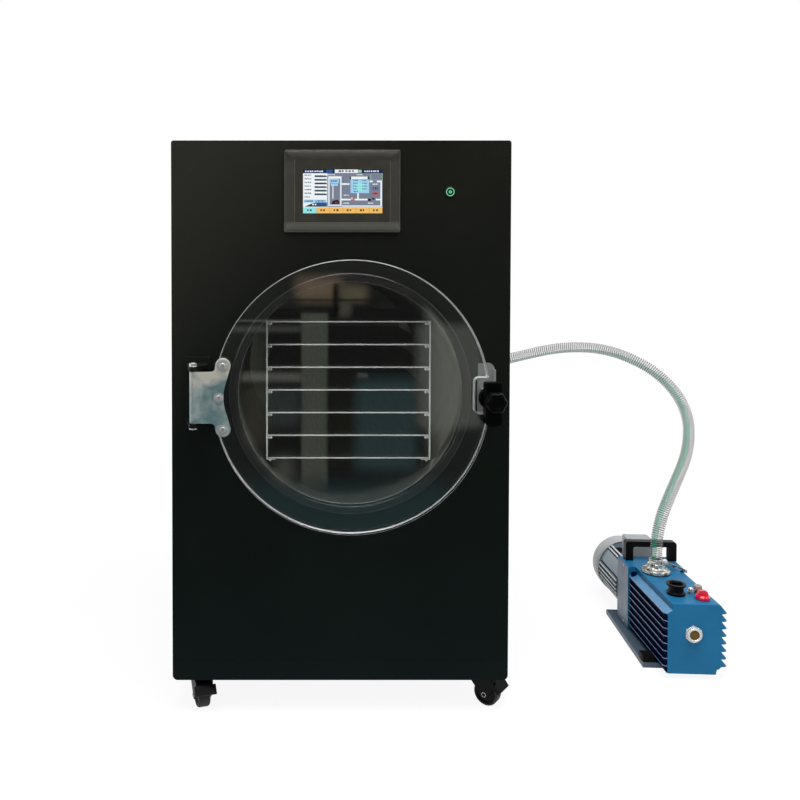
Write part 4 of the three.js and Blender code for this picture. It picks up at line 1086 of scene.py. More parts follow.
def draw_header(ui):
    ui.draw(
        ("navy", 0, 77.5, 154, 7.5), ("white", 4, 79.6, 36, 3.2, 8, 1), ("blue", 45, 78, 12, 6.4),
        ("white", 61.5, 78, 45, 6.6), ("dark", 69, 80, 32, 3.2, 5, 2), ("green", 107, 78.4, 6.5, 5.6),
        ("white", 119, 79.6, 29, 3.4, 7, 3),
    )


def draw_values(ui):
    ui.field("white", 0, 12.5, 47, 65)
    for i in range(7):
        z = 72.5 - i * 7.0
        ui.marks("teal", 3, z, 13.5 if i < 6 else 11, 2.6, 4, 10 + i)
        if i < 6:
            ui.field("teal", 22.5, z - 2.4, 23.5, 2.8)
            ui.marks("teal", 23, z - 0.4, 22, 1.7, 5, 20 + i)
    ui.draw(
        ("sky", 1.5, 20.5, 44, 6), ("teal", 3, 22.2, 17, 3, 5, 31), ("teal", 25, 22.2, 18, 3, 5, 32),
    )
    ui.shape("teal", [(3, 12.8), (46.5, 12.8), (46.5, 21), (26, 21), (17, 19)])
    ui.shape("blue", [(27, 14.5), (46.5, 14.5), (46.5, 21), (27, 21)])
    ui.marks("white", 18, 15.2, 10, 3.4, 2, 33)


def draw_diagram(ui):
    ui.draw(
        ("slate", 47, 12.5, 107, 65), ("green", 131, 64, 23, 13), ("slate", 132, 64.5, 21, 12),
        ("white", 47.5, 73.6, 15, 2.4, 6, 40), ("white", 104, 73.6, 12, 2.4, 4, 41),
        ("white", 49, 14.5, 25.5, 57), ("slate", 51.5, 16.5, 20.5, 50.5), ("sky", 52.5, 58, 17, 8.5),
        ("blue", 54, 60.5, 14, 4, 4, 42), ("sky", 53.5, 53, 14, 4.2), ("white", 57, 28, 1.8, 26),
    )
    ui.shape("dark", [(55, 18), (70, 18), (70.5, 23), (66, 26.5), (61, 25), (57, 23.5)])
    ui.marks("red", 62, 20, 6, 2.4, 2, 43)


def draw_pipes(ui):
    ui.draw(
        ("white", 75, 55, 15, 3.2), ("white", 74.5, 25, 18, 3.2), ("white", 100, 25, 25, 3.2),
        ("white", 105, 27, 3.2, 12.5), ("white", 141, 25, 12, 3.2), ("white", 150, 15, 3, 47),
        ("white", 143, 60, 10, 3.2), ("white", 129, 60, 6, 3.2), ("white", 75, 13.2, 78, 2.0),
        ("red", 93, 24.5, 4.5, 6.5), ("white", 94, 26, 3, 5, 1, 44), ("dark", 126, 24, 6, 4),
        ("dark", 134, 26.5, 4.5, 3.5),
    )
    for seed, (x, z, width) in enumerate(((79, 33.6, 11), (78.5, 18.2, 11), (126, 18.2, 11), (135, 55, 12))):
        ui.marks("white", x, z, width, 2.6, 4, 50 + seed)
    ui.marks("blue", 135, 45, 12, 6, 3, 55)


def draw_chamber(ui):
    ui.draw(
        ("sky", 92, 39, 36, 28), ("cyan", 102, 43, 18, 16), ("dark", 90.5, 65.5, 37.5, 5.5),
        ("white", 93, 66, 32, 5),
    )
    for row, z in enumerate((62.5, 57, 51.5, 46)):
        ui.marks("teal", 97.5, z, 9, 2.2, 3, 60 + row)
        ui.marks("teal", 115, z, 9, 2.2, 3, 65 + row)
    ui.draw(
        ("blue", 98, 41, 9, 2.4, 3, 70), ("red", 135, 36, 10.5, 4.4),
        ("dark", 134.5, 37, 11.5, 2.4, 3, 71),
    )


def draw_buttons(ui):
    ui.field("cyan", 0, 0, 26, 12)
    ui.marks("teal", 8, 4, 10, 4, 2, 80)
    for i in range(5):
        x = 26 + i * 25.6
        ui.field("gold", x + 0.3, 0, 25.2, 12)
        ui.marks("teal", x + 7.5, 4, 11, 4, 2, 81 + i)
    ui.field("white", 0, 11.6, 154, 0.9)


def make_display():
    ui = Display()
    draw_header(ui)
    draw_values(ui)
    draw_diagram(ui)
    draw_pipes(ui)
    draw_chamber(ui)
    draw_buttons(ui)
    finish_piece("display_picture", ui.bm, ["ui_" + name for name in UI])


def make_button():
    middle = (BUTTON_X, 0, BUTTON_Z)
    bm = bmesh.new()
    profile = [(6.8, -0.3), (11, -0.3), (11, -1.4), (9.6, -2.2), (8.3, -2.2), (8.3, -1.6), (6.8, -1.6)]
    lathe(bm, soft(profile, 0.3, 2), "Y", middle, 64)
    lathe(bm, [(6.8, -0.3), (9.3, -0.3), (9.3, 25), (6.8, 25)], "Y", middle, 40)
    lathe(bm, soft([(6.7, -1.5), (8.2, -1.5), (8.0, -2.15), (6.9, -2.15)], 0.2, 2), "Y", middle, 64, 1)
    finish_piece("button_bezel_fine", bm, ["halo", "green_ring"], replaces=("button_bezel",))
    bm = bmesh.new()
    lathe(bm, [(0, 3.2), (6.5, 3.2), (6.5, -1.6), (6.1, -2.1), (0, -2.1)], "Y", middle, 64)
    lathe(bm, soft([(0, -2.0), (3.6, -2.0), (3.3, -2.5), (0, -2.75)], 0.1, 2), "Y", middle, 48, 1)
    symbol = arc(BUTTON_X, BUTTON_Z, 2.4, 130, 410, 32) + arc(BUTTON_X, BUTTON_Z, 1.8, 410, 130, 32)
    prism(bm, symbol, "Y", -2.79, -2.4, (), 2)
    block(bm, BUTTON_X - 0.3, BUTTON_X + 0.3, -2.79, -2.4, BUTTON_Z + 0.6, BUTTON_Z + 2.7, 2)
    finish_piece(
        "power_button_fine", bm, ["halo", "green_core", "green_ring"], body="power_button",
        replaces=("power_button",),
    )


make_bezel()
make_film()
make_display()
make_button()

# ---- Casters ----

CASTERS = (("front_left", -283, 55, -72), ("front_right", 283, 55, -38), ("back_left", -283, 645, 100),
           ("back_right", 283, 645, 64))
WHEEL = 25  # radius
HALF_TREAD = 12.5
TRAIL = 23


def caster_frame(x, y, turn):
    return CABINET @ Matrix.Translation((x, y, 0)) @ Matrix.Rotation(math.radians(turn), 4, "Z")


def make_wheel(name, place):
    bm = bmesh.new()
    centre = (TRAIL, 0, WHEEL)
    rim = WHEEL - 4.5
    half = HALF_TREAD
    tyre = [(rim, -half + 2), (rim, -half + 1), (WHEEL - 2.4, -half), (WHEEL, -half + 3.5),
            (WHEEL, half - 3.5), (WHEEL - 2.4, half), (rim, half - 1), (rim, half - 2)]
    lathe(bm, round_corners(tyre, [0, 0.5, 1.2, 2.5, 2.5, 1.2, 0.5, 0], 4), "Y", centre, 56)
    disc = [(4.4, -11.8), (7.5, -11.8), (7.9, -9.6), (17.5, -8.6), (18.4, -11), (rim, -11), (rim, 11),
            (18.4, 11), (17.5, 8.6), (7.9, 9.6), (7.5, 11.8), (4.4, 11.8)]
    lathe(bm, round_corners(disc, 0.4, 2), "Y", centre, 48, 1)
    finish_piece(
        "wheel_" + name, bm, ["tread", "black"], place, body="wheel_" + name,
        replaces=("caster_wheel_" + name,),
    )


def make_casters():
    for name, x, y, turn in CASTERS:
        place = caster_frame(x, y, turn)
        refined("caster_fork_" + name, ["black"], 0.7)
        make_wheel(name, place)
        bm = bmesh.new()
        for side in (-1, 1):
            low, high = sorted((side * 17.2, side * 18.9))
            hex_head(bm, "Y", (TRAIL, 0, WHEEL), 5.2, low, high)
        finish_piece("axle_heads_" + name, bm, ["bright"], place, body="caster_" + name, bevel=0.4)
        bm = bmesh.new()
        lathe(bm, soft([(10, 63.9), (24, 63.9), (24, 67.9), (10, 67.9)], 0.8), "Z", (0, 0, 0), 48)
        finish_piece("caster_plate_" + name, bm, ["zinc"], place)
    for name in ("front_left", "front_right"):
        refined("brake_pedal_" + name, ["black"], 0.9)


# ---- Pump ----

PUMP_FLOOR = 12
PUMP_BACK = 217
BRACKET_BACK = 290.8
MOTOR_Z = 87
TOOTH_PITCH, TOOTH_LAND, TOOTH_TOP = 16.3, 1.5, 143
RIGHT_REACH, LEFT_REACH = 13, 6.5
# Besides the paint, the oil box has a painted highlight on its rib tips, painted shade in its gaps, and a
# ledge made lighter as painted light.
PAINT, PAINTED_HIGHLIGHT, SHADED, PAINTED_LIT_LEDGE = 0, 1, 2, 3  # materials of the oil box


def box_section(share, inset=0.0):
    """The oil box's outline, clockwise from the deck's left edge, with its ribs at a share of their reach.

    Returns the points and the material of the side after each of them."""
    top = DECK - 0.3
    half = HALF_PUMP
    tip = half + RIGHT_REACH * share
    sides = [(-half + 10, top, PAINT), (half - 5, top, PAINT), (half, TOOTH_TOP + TOOTH_PITCH, PAINT)]
    for i in range(8):
        z = TOOTH_TOP - i * TOOTH_PITCH
        sides += [(tip, z + TOOTH_LAND, PAINT), (tip, z, SHADED), (half, z, PAINT)]
    sides += [(half - 3, PUMP_FLOOR + 13, PAINT), (half - 9, PUMP_FLOOR + 10, PAINT)]
    sides.append((half - 11, PUMP_FLOOR, PAINT))
    sides += [(-half + 5, PUMP_FLOOR, SHADED), (-half, TOOTH_TOP - 8 * TOOTH_PITCH + 1, SHADED)]
    tip = half + LEFT_REACH * share
    for i in range(7, 0, -1):
        z = TOOTH_TOP - i * TOOTH_PITCH
        # The rib tips on the left take the painted highlight, and the faces between them painted shade.
        sides += [(-tip, z - TOOTH_LAND, PAINTED_HIGHLIGHT), (-tip, z, SHADED), (-half, z, SHADED)]
    # The ledge strip takes the lighter paint, as painted light.
    sides += [(-tip, TOOTH_TOP - TOOTH_LAND, PAINTED_HIGHLIGHT), (-tip, TOOTH_TOP, PAINTED_LIT_LEDGE), (-half + 10, top - 13.5, PAINT)]
    middle = (top + PUMP_FLOOR) / 2
    shrink = 1 - inset / half
    points = [(x * shrink, middle + (z - middle) * shrink) for x, z, _ in sides]
    return points, [kind for _, _, kind in sides]


def make_oil_box():
    plan = [(0.0, 0.04, 1.4), (0.5, 0.08, 0.7), (1.5, 0.15, 0.2)]
    plan += [(1.5 + 8 * k / 8, 0.15 + 0.85 * math.sqrt(1 - (1 - k / 8) ** 2), 0.0) for k in range(1, 9)]
    plan.append((PUMP_BACK, 1.0, 0.0))
    sections = [[(x, y, z) for x, z in box_section(share, inset)[0]] for y, share, inset in plan]
    bm = bmesh.new()
    loft(bm, sections, box_section(1)[1])
    finish_piece(
        "oil_box_fine", bm, ["blue", "worn", "shade", "ledge"], PUMP,
        replaces=("pump_oil_box",), smooth=24, bevel=0.45,
    )


def make_bracket():
    """A block that is blue on its top and its front, and slate on the rest."""
    bm = bmesh.new()
    low, high = PUMP_BACK + 0.3, BRACKET_BACK
    top = DECK - 0.3
    corners = [(-65, PUMP_FLOOR), (65, PUMP_FLOOR), (65, top), (-65, top)]
    prism(bm, round_corners(corners, [2, 2, 4, 4], 5), "Y", low, high)
    bmesh.ops.recalc_face_normals(bm, faces=bm.faces)
    for face in bm.faces:
        face.material_index = int(face.normal.z > 0.7 or face.normal.y < -0.7)
    finish_piece("bracket_fine", bm, ["slate", "blue"], PUMP, replaces=("pump_bracket",), bevel=0.8)
    bm = bmesh.new()
    for side in (-1, 1):
        for y, z in ((low + 30, 157), (low + 29, 22)):
            head = ((0, 64.5), (3.4, 64.5), (3.4, 65.7), (2.2, 66.2), (0, 66.2))
            profile = [(radius, side * out) for radius, out in head]
            lathe(bm, soft(profile, 0.3, 2), "X", (0, y, z), 24)
    finish_piece("bracket_screws", bm, ["grey"], PUMP)


def make_base():
    refined("pump_base", ["base"], 1.0)
    bm = bmesh.new()
    for left, right, front in ((-88, -62, 50.5), (44, 59, 296)):
        prism(bm, rounded_box(left, right, front, front + 28, 2, 3), "Z", 11.6, 26)
        prism(bm, rounded_box(left + 4, right - 4, front + 5, front + 23, 2, 3), "Z", 26, 26.8)
    finish_piece("rubber_blocks", bm, ["foot"], PUMP, bevel=1.2)


def make_handle():
    """A bar on two legs. The legs have fine ribs across them."""
    bm = bmesh.new()
    left, right, low, top = -56.5, 64.5, DECK, DECK + 47
    leg, bar = 18, 13
    outer = [(left, low), (left + leg, low), (left + leg, top - bar), (right - leg, top - bar)]
    outer += [(right - leg, low), (right, low), (right, top), (left, top)]
    shape = round_corners(outer, [1, 1, 5, 5, 1, 1, 7, 7], 6)
    middle = PUMP_BACK + 51
    prism(bm, shape, "Y", middle - 9, middle + 9)
    finish_piece("handle_fine", bm, ["black"], PUMP, replaces=("pump_handle",), bevel=1.6, steps=3)
    bm = bmesh.new()
    for x in (left + 4, right - 14):
        for i in range(7):
            block(bm, x, x + 10, middle - 9.0, middle - 8.4, low + 4 + i * 4.4, low + 5.8 + i * 4.4)
    finish_piece("handle_ribs", bm, ["black"], PUMP, bevel=0.25)


def notched_ring(centre, radius, z, count, depth, steps):
    """Points round a vertical axis whose radius falls by depth in count notches."""
    made = []
    for k in range(steps):
        share = k / steps
        r = radius - depth * (0.5 - 0.5 * math.cos(2 * math.pi * count * share)) ** 2
        turn = 2 * math.pi * share
        made.append((centre[0] + r * math.cos(turn), centre[1] + r * math.sin(turn), z))
    return made


INLET = (-13, 183)


def make_inlet():
    at_deck = (*INLET, DECK)
    bm = bmesh.new()
    rows = [(26, 2.4, 0), (30.6, 2.4, 0), (31, 3.2, 1.0), (31, 7.4, 1.0), (30.2, 8.4, 0.6), (25.5, 8.8, 0)]
    loft(bm, [notched_ring(INLET, r, DECK + z, 36, depth, 216) for r, z, depth in rows])
    rows = [(25.5, 8.6, 0), (24.8, 12, 0), (21, 13.4, 0), (19.6, 14, 0), (19.6, 15, 1.6), (19.6, 22, 1.6),
            (18.4, 23.4, 0.8), (15.4, 24.2, 0)]
    loft(bm, [notched_ring(INLET, r, DECK + z, 10, depth, 200) for r, z, depth in rows])
    lathe(bm, [(10.5, 20), (13.8, 20), (13.8, 32), (10.5, 32)], "Z", at_deck, 48)
    finish_piece("inlet_fine", bm, ["inlet"], PUMP, replaces=("pump_inlet",), smooth=36)
    bm = bmesh.new()
    lathe(bm, soft([(20, 0), (30.8, 0), (30.8, 2.6), (20, 2.6)], 1.1), "Z", at_deck, 64)
    finish_piece("inlet_ring", bm, ["foot"], PUMP)
    bm = bmesh.new()
    corners = ((-1.5, -3.5), (1.5, -3.5), (1.5, 3.5), (-1.5, 3.5))
    ends = ((16, 206, 181), (38, 193, 174), (58, 182, 167.5))
    loft(bm, [[(x, y + across, z + up) for across, up in corners] for x, y, z in ends])
    finish_piece("inlet_clamp_bar", bm, ["inlet"], PUMP, bevel=0.6)


def worm_clamp(name, place, radius, low, high, turn):
    """A band round a hose with its screw in a housing, about the Z axis of place."""
    bm = bmesh.new()
    profile = [(radius, low), (radius + 0.8, low), (radius + 0.8, high), (radius, high)]
    lathe(bm, soft(profile, 0.25, 2), "Z", (0, 0, 0), 72)
    middle = (low + high) / 2
    house = bmesh.new()
    prism(house, rounded_box(radius + 0.4, radius + 7.5, -6.5, 6.5, 1.6, 3), "Z", low - 0.8, high + 0.8)
    hex_head(house, "Y", (radius + 4, 0, middle), 4.0, 6.5, 10.5)
    lathe(house, soft([(0, -9), (2.9, -9), (2.9, 6.5), (0, 6.5)], 0.4), "Y", (radius + 4, 0, middle), 24)
    prism(house, rounded_box(radius + 0.8, radius + 2.0, -14, -6, 0.5, 2), "Z", low, high)
    bmesh.ops.rotate(house, matrix=Matrix.Rotation(math.radians(turn), 3, "Z"), verts=house.verts)
    made = mesh_of("part", house)
    bm.from_mesh(made)
    bpy.data.meshes.remove(made)
    finish_piece(name, bm, ["bright"], place, bevel=0.3)


def make_deck_fittings():
    bm = bmesh.new()
    profile = [(0, 0), (19, 0), (19, 5), (15.5, 7), (15.5, 18), (20.5, 20), (20.5, 24), (15.5, 24),
               (13.5, 21), (13.5, 6), (0, 6)]
    lathe(bm, soft(profile, 0.9, 3), "Z", (-18, 54, DECK), 72)
    finish_piece("exhaust_fine", bm, ["black"], PUMP, replaces=("pump_exhaust",))
    bm = bmesh.new()
    lathe(bm, soft([(0, 0), (15, 0), (15, 6), (12, 9.6), (0, 9.6)], 1.4, 4), "Z", (28, 29, DECK), 64)
    wing = [(16, DECK + 6), (40, DECK + 6), (36.5, DECK + 19), (19.5, DECK + 19)]
    prism(bm, round_corners(wing, [1, 1, 5, 5], 6), "Y", 25, 33)
    finish_piece(
        "filler_cap_fine", bm, ["red"], PUMP, body="filler_cap",
        replaces=("filler_cap",), smooth=40, bevel=1.2, steps=3,
    )
    bm = bmesh.new()
    rows = [(8.2, 0, 0.5), (8.5, 1, 0.6), (8.5, 13, 0.6), (8.0, 14.8, 0.4), (6.6, 16, 0)]
    loft(bm, [notched_ring((34, 67), r, DECK + z, 18, depth, 108) for r, z, depth in rows])
    finish_piece(
        "ballast_fine", bm, ["beige"], PUMP, body="ballast_knob", replaces=("ballast_knob",), smooth=36,
    )
    bm = bmesh.new()
    hex_head(bm, "Z", (16, 60, 0), 7.0, DECK, DECK + 5)
    lathe(bm, soft([(0, 0), (5.2, 0), (5.2, 10), (3.4, 12.5), (0, 12.5)], 0.8), "Z", (16, 60, DECK), 32)
    prism(bm, rounded_box(18, 29, 58, 62, 1, 3), "Z", DECK + 5.5, DECK + 8.5)
    finish_piece("deck_fitting", bm, ["inlet"], PUMP, bevel=0.3)
    bm = bmesh.new()
    lathe(bm, soft([(0, -1), (5, -1), (5, 5), (3.5, 6.4), (0, 6.4)], 0.8), "Z", (50.5, 190, DECK), 40)
    finish_piece("deck_plug", bm, ["black"], PUMP)
    bm = bmesh.new()
    # The bolt is real. Its dark navy colour is painted shade for the hole it sits in.
    lathe(bm, [(0, -22), (6.6, -22), (6.6, -11), (4, -11), (4, -15), (0, -15)], "Z", (-54.5, 208.5, DECK), 40)
    finish_piece("corner_bolt", bm, ["shade"], PUMP)


def make_sight_glass():
    x, z = -2.6, 100
    centre = (x, 0, z)
    bm = bmesh.new()
    prism(bm, arc(x, z, 18.4, 30, 390, 6), "Y", -4.4, -0.3)
    profile = [(10.2, -5), (15, -5), (15, -8.2), (14.2, -9), (11, -9), (10.2, -8)]
    lathe(bm, round_corners(profile, [0, 0, 0.4, 0.4, 0.4, 0.4], 3), "Y", centre, 72)
    lathe(bm, soft([(15.2, -4.9), (17.2, -4.9), (17.2, -4.2), (15.2, -4.2)], 0.2, 2), "Y", centre, 72)
    finish_piece("sight_glass_fine", bm, ["sight"], PUMP, replaces=("sight_glass",), bevel=0.5)
    bm = bmesh.new()
    lathe(bm, [(0, -8.4), (5, -8.1), (8.5, -7.4), (10.2, -6.6), (10.2, -5), (0, -5)], "Y", centre, 56)
    finish_piece("sight_window", bm, ["oil"], PUMP)


def motor_outline():
    """A round body with fins beside the terminal box and lower down, and smooth flanks between them."""
    fins = [51, 58, 122, 129] + list(range(168, 252, 9)) + list(range(262, 290, 9)) + list(range(299, 357, 9))
    turns = []
    for fin in fins:
        turns += [(fin - 2.4, 61.5), (fin - 1.6, 69.8), (fin + 1.6, 69.8), (fin + 2.4, 61.5)]
    for start, end in ((18, 47), (133, 162)):
        turns += [(start, 61.5), (start + 0.4, 66.5)]
        turns += [(start + (end - start) * k / 8, 67.5) for k in range(1, 8)]
        turns += [(end - 0.4, 66.5), (end, 61.5)]
    points = []
    for turn, radius in sorted((t % 360, r) for t, r in turns):
        angle = math.radians(turn)
        points.append((radius * math.cos(angle), MOTOR_Z + radius * math.sin(angle)))
    return points


def make_motor():
    bm = bmesh.new()
    front, back = BRACKET_BACK + 0.3, BRACKET_BACK + 133.3
    prism(bm, motor_outline(), "Y", front, back)
    # Faces between the fins take painted shade, and the fin tips a painted highlight.
    for face in bm.faces:
        spot = face.calc_center_median()
        radius = math.hypot(spot.x, spot.z - MOTOR_Z)
        if front + 1 < spot.y < back - 1 and radius < 62:
            face.material_index = 2
        elif front + 1 < spot.y < back - 1 and radius > 69:
            face.material_index = 1
    block(bm, -28, 36, front + 39, front + 86, 120, 142.7)
    finish_piece("motor_fine", bm, ["motor", "fin", "dark"], PUMP, replaces=("pump_motor",), bevel=0.5)
    make_cowl(back + 0.3)
    make_terminal_box(-27, 35, front + 40, front + 85)


def make_terminal_box(left, right, front, back):
    bm = bmesh.new()
    prism(bm, rounded_box(left, right, front, back, 4, 4), "Z", 143, 182.4)
    prism(bm, rounded_box(left + 0.6, right - 0.6, front + 0.6, back - 0.6, 4, 4), "Z", 182.2, 183.2)
    prism(bm, rounded_box(left, right, front, back, 4, 4), "Z", 183.1, 192)
    finish_piece(
        "terminal_box_fine", bm, ["box"], PUMP, replaces=("pump_terminal_box",), bevel=1.6, steps=3,
    )
    bm = bmesh.new()
    for x in (left + 6, right - 6):
        for y in (front + 6, back - 6):
            head_screw(bm, "Z", (x, y, 191.1), 2.4, 0.9, 1)
    finish_piece("terminal_screws", bm, ["bright"], PUMP)


def make_cowl(front):
    """The fan cowl: a shell with a round shoulder and rings of slots in its back."""
    outer = 71.5
    rows = [(outer, 0), (outer, 20), (outer, 40)]
    for turn in range(12, 85, 12):
        angle = math.radians(turn)
        rows.append((outer - 26 * (1 - math.cos(angle)), 40 + 26 * math.sin(angle)))
    rows += [(42, 67.6), (36, 67.8), (30, 67.8), (24, 67.8), (18, 67.8), (12, 67.8)]
    bm = bmesh.new()
    rings = []
    sides = 96
    for radius, y in rows:
        circle = arc(0, MOTOR_Z, radius, 0, 360, sides)
        rings.append([bm.verts.new((x, front + y, z)) for x, z in circle])
    for i, (low, high) in enumerate(zip(rings, rings[1:])):
        slotted = rows[i][0] in (42, 30, 18)
        for k in range(sides):
            n = (k + 1) % sides
            if not slotted or k % 6 < 2:
                bm.faces.new((low[k], low[n], high[n], high[k]))
    bm.faces.new(rings[-1])
    cowl = finish_piece("cowl_fine", bm, ["grey"], PUMP, replaces=("pump_cowl",), smooth=40)
    shell = cowl.modifiers.new("sheet", "SOLIDIFY")
    shell.thickness = 0.0018
    shell.offset = -1.0
    bm = bmesh.new()
    lathe(bm, soft([(0, 1), (68, 1), (68, 4), (0, 4)], 0.4, 2), "Y", (0, front, MOTOR_Z), 96)
    finish_piece("cowl_inner_plate", bm, ["motor"], PUMP)


# ---- Hose ends and port ----


def make_port():
    bm = bmesh.new()
    centre = (0, PORT_Y, PORT_Z)
    profile = [(11.5, 331.3), (30, 331.3), (30, 336.6), (17, 337), (13.8, 339), (13.8, 390.8), (11.5, 390.8)]
    lathe(bm, soft(profile, 0.8), "X", centre, 64)
    lathe(bm, [(11.5, 305), (13.8, 305), (13.8, 331.5), (11.5, 331.5)], "X", centre, 40)
    for turn in (45, 135, 225, 315):
        y = PORT_Y + 23.5 * math.cos(math.radians(turn))
        z = PORT_Z + 23.5 * math.sin(math.radians(turn))
        head_screw(bm, "X", (336.5, y, z), 3.2, 2.6, 1)
    finish_piece("hose_port_fine", bm, ["bright"], replaces=("hose_port",), smooth=36)


def make_hose_ends():
    along_port = CABINET @ Matrix.Translation((0, PORT_Y, PORT_Z)) @ Matrix.Rotation(math.pi / 2, 4, "Y")
    along_inlet = PUMP @ Matrix.Translation((*INLET, DECK))
    for name, place, low, high in (("port", along_port, 352, 391.6), ("inlet", along_inlet, 25, 32.6)):
        bm = bmesh.new()
        lathe(bm, soft([(13.9, low), (14.5, low), (14.5, high), (13.9, high)], 0.2, 2), "Z", (0, 0, 0), 56)
        finish_piece("hose_sleeve_" + name, bm, ["hose"], place)
    worm_clamp("hose_clamp_port", along_port, 14.6, 366, 376, 150)
    worm_clamp("hose_clamp_inlet", along_inlet, 14.6, 25, 32, -30)


# ---- Inner parts ----


def make_inner_parts():
    for node, key, bevel in (
        ("vacuum_pipe", "chamber", 0), ("cooling_coil", "copper", 0), ("compressor", "black", 2.0),
        ("condenser", "fins", 0.6), ("fan_shroud", "coat", 0.6), ("condenser_fan", "black", 0.6),
        ("control_box", "grey", 0.8),
    ):
        refined(node, [key], bevel)


make_casters()
make_oil_box()
make_bracket()
make_base()
make_handle()
make_inlet()
make_deck_fittings()
make_sight_glass()
make_motor()
make_port()
make_hose_ends()
make_inner_parts()

# ---- Stage and light ----


def floor_material():
    """Pale floor: mostly plain white as seen, with a share that takes light and shows the shadows."""
    m = Nodes("pale_floor", (0.68, 0.68, 0.68), 0.85, Specular_IOR_Level=0.1)
    m.color(m.blend(m.cloud(3.0, 3.0), (0.66, 0.66, 0.665), (0.71, 0.71, 0.705)))
    ahead = m.axis("Y")
    strength = m.add("Mix")
    m.link(m.rays("Glossy", "Transmission"), strength.inputs["Factor"])
    m.link(m.span(ahead, ORIGIN.y + 0.8, ORIGIN.y + 3.0, 1.14, 1.27), strength.inputs["A"])
    m.link(m.span(ahead, ORIGIN.y - 0.5, ORIGIN.y + 0.3, 0.12, 1.14), strength.inputs["B"])
    white = m.add("Emission")
    m.link(strength.outputs["Result"], white.inputs["Strength"])
    share = m.math("MULTIPLY", m.rays("Camera", "Glossy", "Transmission"), 0.8)
    m.link(m.mix(share, m.shader.outputs[0], white.outputs[0]), m.out.inputs[0])
    return m.material


def make_floor():
    bm = bmesh.new()
    block(bm, -6000, 6000, -1000, 7000, -20, -0.2)
    bmesh.ops.transform(bm, matrix=CABINET, verts=bm.verts)
    bmesh.ops.recalc_face_normals(bm, faces=bm.faces)
    mesh = mesh_of("floor", bm)
    mesh.materials.append(floor_material())
    floor = placed("floor", mesh)


# What the door mirrors: soft patches of a room in front of it. Each has its middle and half size across
# and up, per metre of distance, the softness of its edge, and its colour.
ROOM = (
    ((0.041, 0.0155), (-0.168, 0.105), 0.002, (0.56, 0.60, 0.49)),
    ((0.075, 0.017), (-0.190, 0.060), 0.006, (0.11, 0.11, 0.09)),
    ((0.126, 0.036), (-0.195, 0.055), 0.008, (0.23, 0.38, 0.40)),
    ((0.070, 0.130), (-0.300, 0.035), 0.015, (0.12, 0.22, 0.24)),
    ((0.201, 0.039), (-0.138, 0.061), 0.006, (0.60, 0.62, 0.56)),
    ((0.046, 0.026), (-0.0345, 0.0140), 0.008, (1.05, 0.75, 0.50)),
    ((0.088, 0.015), (-0.0400, 0.0090), 0.006, (0.80, 0.70, 0.45)),
    ((0.075, 0.009), (-0.0580, 0.0090), 0.004, (0.50, 0.48, 0.40)),
    ((0.068, 0.062), (-0.0475, 0.0008), 0.0008, (0.02, 0.02, 0.02)),
    ((0.066, 0.004), (-0.0480, 0.0200), 0.003, (0.03, 0.03, 0.03)),
    ((-0.017, 0.043), (-0.0720, 0.0012), 0.001, (0.62, 0.64, 0.60)),
    ((-0.017, 0.043), (-0.0820, 0.0030), 0.003, (0.46, 0.48, 0.45)),
    ((-0.010, 0.036), (-0.1390, 0.0050), 0.004, (0.80, 0.80, 0.72)),
    ((0.002, 0.022), (-0.1760, 0.0230), 0.008, (0.26, 0.32, 0.31)),
    ((-0.029, 0.014), (-0.1850, 0.0350), 0.008, (0.30, 0.29, 0.22)),
    ((0.006, 0.010), (-0.2480, 0.0150), 0.010, (0.50, 0.52, 0.44)),
    ((0.098, 0.006), (-0.1370, 0.0030), 0.001, (0.50, 0.54, 0.52)),
)
# A pale crescent at the right, which is the part of a circle past an upright line: the circle's middle and
# radius, the line, and the colour.
CRESCENT = ((0.082, -0.150), 0.132, 0.166, (1.15, 1.18, 1.04))


def crescent(w, across, up):
    (x, z), radius, line, _ = CRESCENT
    aside = w.math("POWER", w.math("SUBTRACT", across, x), 2.0)
    above = w.math("POWER", w.math("SUBTRACT", up, z), 2.0)
    far = w.math("SQRT", w.math("ADD", aside, above))
    disc = w.span(far, radius - 0.002, radius + 0.002, 1.0, 0.0)
    past = w.span(across, line, line + 0.026)
    over = w.span(up, -0.235, -0.190, 0.25, 1.0)
    return w.math("MULTIPLY", w.math("MULTIPLY", disc, past), over)


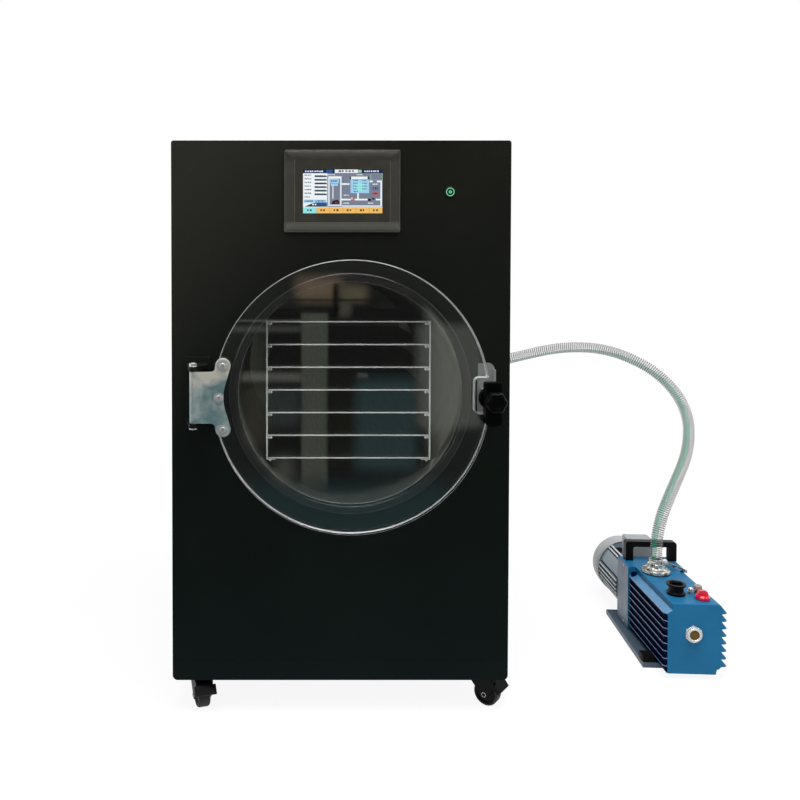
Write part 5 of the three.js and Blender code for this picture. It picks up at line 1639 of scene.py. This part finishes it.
def mirrored_room(w):
    """What shiny parts see: a studio that is bright behind and above, and a dim room in front."""
    direction = w.parts(w.add("TexCoord").outputs["Generated"])
    away = w.math("ABSOLUTE", direction["Y"])
    across = w.math("DIVIDE", direction["X"], away)
    up = w.math("DIVIDE", direction["Z"], away)
    front = w.math("LESS_THAN", direction["Y"], 0.0)

    def inside(value, middle, half, soft):
        off = w.math("ABSOLUTE", w.math("SUBTRACT", value, middle))
        return w.span(off, half - soft, half + soft, 1.0, 0.0)

    dim = w.span(direction["Y"], -0.96, -0.55, 0.085, 0.30)
    bright = w.span(direction["Y"], -0.45, 0.25, 0.0, 0.75)
    room = w.math("ADD", dim, bright)
    for (x, half_x), (z, half_z), soft, color in ROOM:
        patch = w.math("MULTIPLY", inside(across, x, half_x, soft), inside(up, z, half_z, soft))
        room = w.blend(w.math("MULTIPLY", patch, front), room, color)
    return w.blend(w.math("MULTIPLY", crescent(w, across, up), front), room, CRESCENT[-1])


def background(w, color):
    node = w.add("Background")
    if isinstance(color, tuple):
        node.inputs["Color"].default_value = (*color, 1)
    else:
        w.link(color, node.inputs["Color"])
    return node.outputs[0]


def make_world():
    """White for the camera, a mirrored room for shiny parts, and a soft even light for the rest."""
    world = bpy.data.worlds.new("studio")
    bpy.context.scene.world = world
    w = Tree(world)
    even = background(w, (0.28, 0.285, 0.29))
    studio = w.mix(w.rays("Glossy", "Transmission"), even, background(w, mirrored_room(w)))
    seen = w.mix(w.rays("Camera"), studio, background(w, (1.0, 1.0, 1.0)))
    w.link(seen, w.add("OutputWorld").inputs["Surface"])


def make_lamp(name, place, target, width, height, power, color=(1, 1, 1)):
    """A soft rectangular lamp at a place, in metres in the cabinet's frame, turned to a target."""
    light = bpy.data.lights.new(name, "AREA")
    light.shape = "RECTANGLE"
    light.size = width
    light.size_y = height
    light.energy = power
    light.color = color
    lamp = placed(name, light)
    lamp.location = ORIGIN + Vector(place)
    lamp.rotation_euler = (Vector(target) - Vector(place)).to_track_quat("-Z", "Y").to_euler()


bpy.context.scene.view_settings.view_transform = "Standard"
make_floor()
make_world()
make_lamp("above", (0.2, -0.6, 3.2), (0.2, 0.3, 0.5), 2.4, 2.0, 84)
make_lamp("left", (-2.6, -1.8, 1.8), (0, 0, 0.6), 1.2, 1.6, 12)
make_lamp("right", (3.0, -1.2, 2.2), (0.6, 0.2, 0.3), 1.4, 1.4, 10)
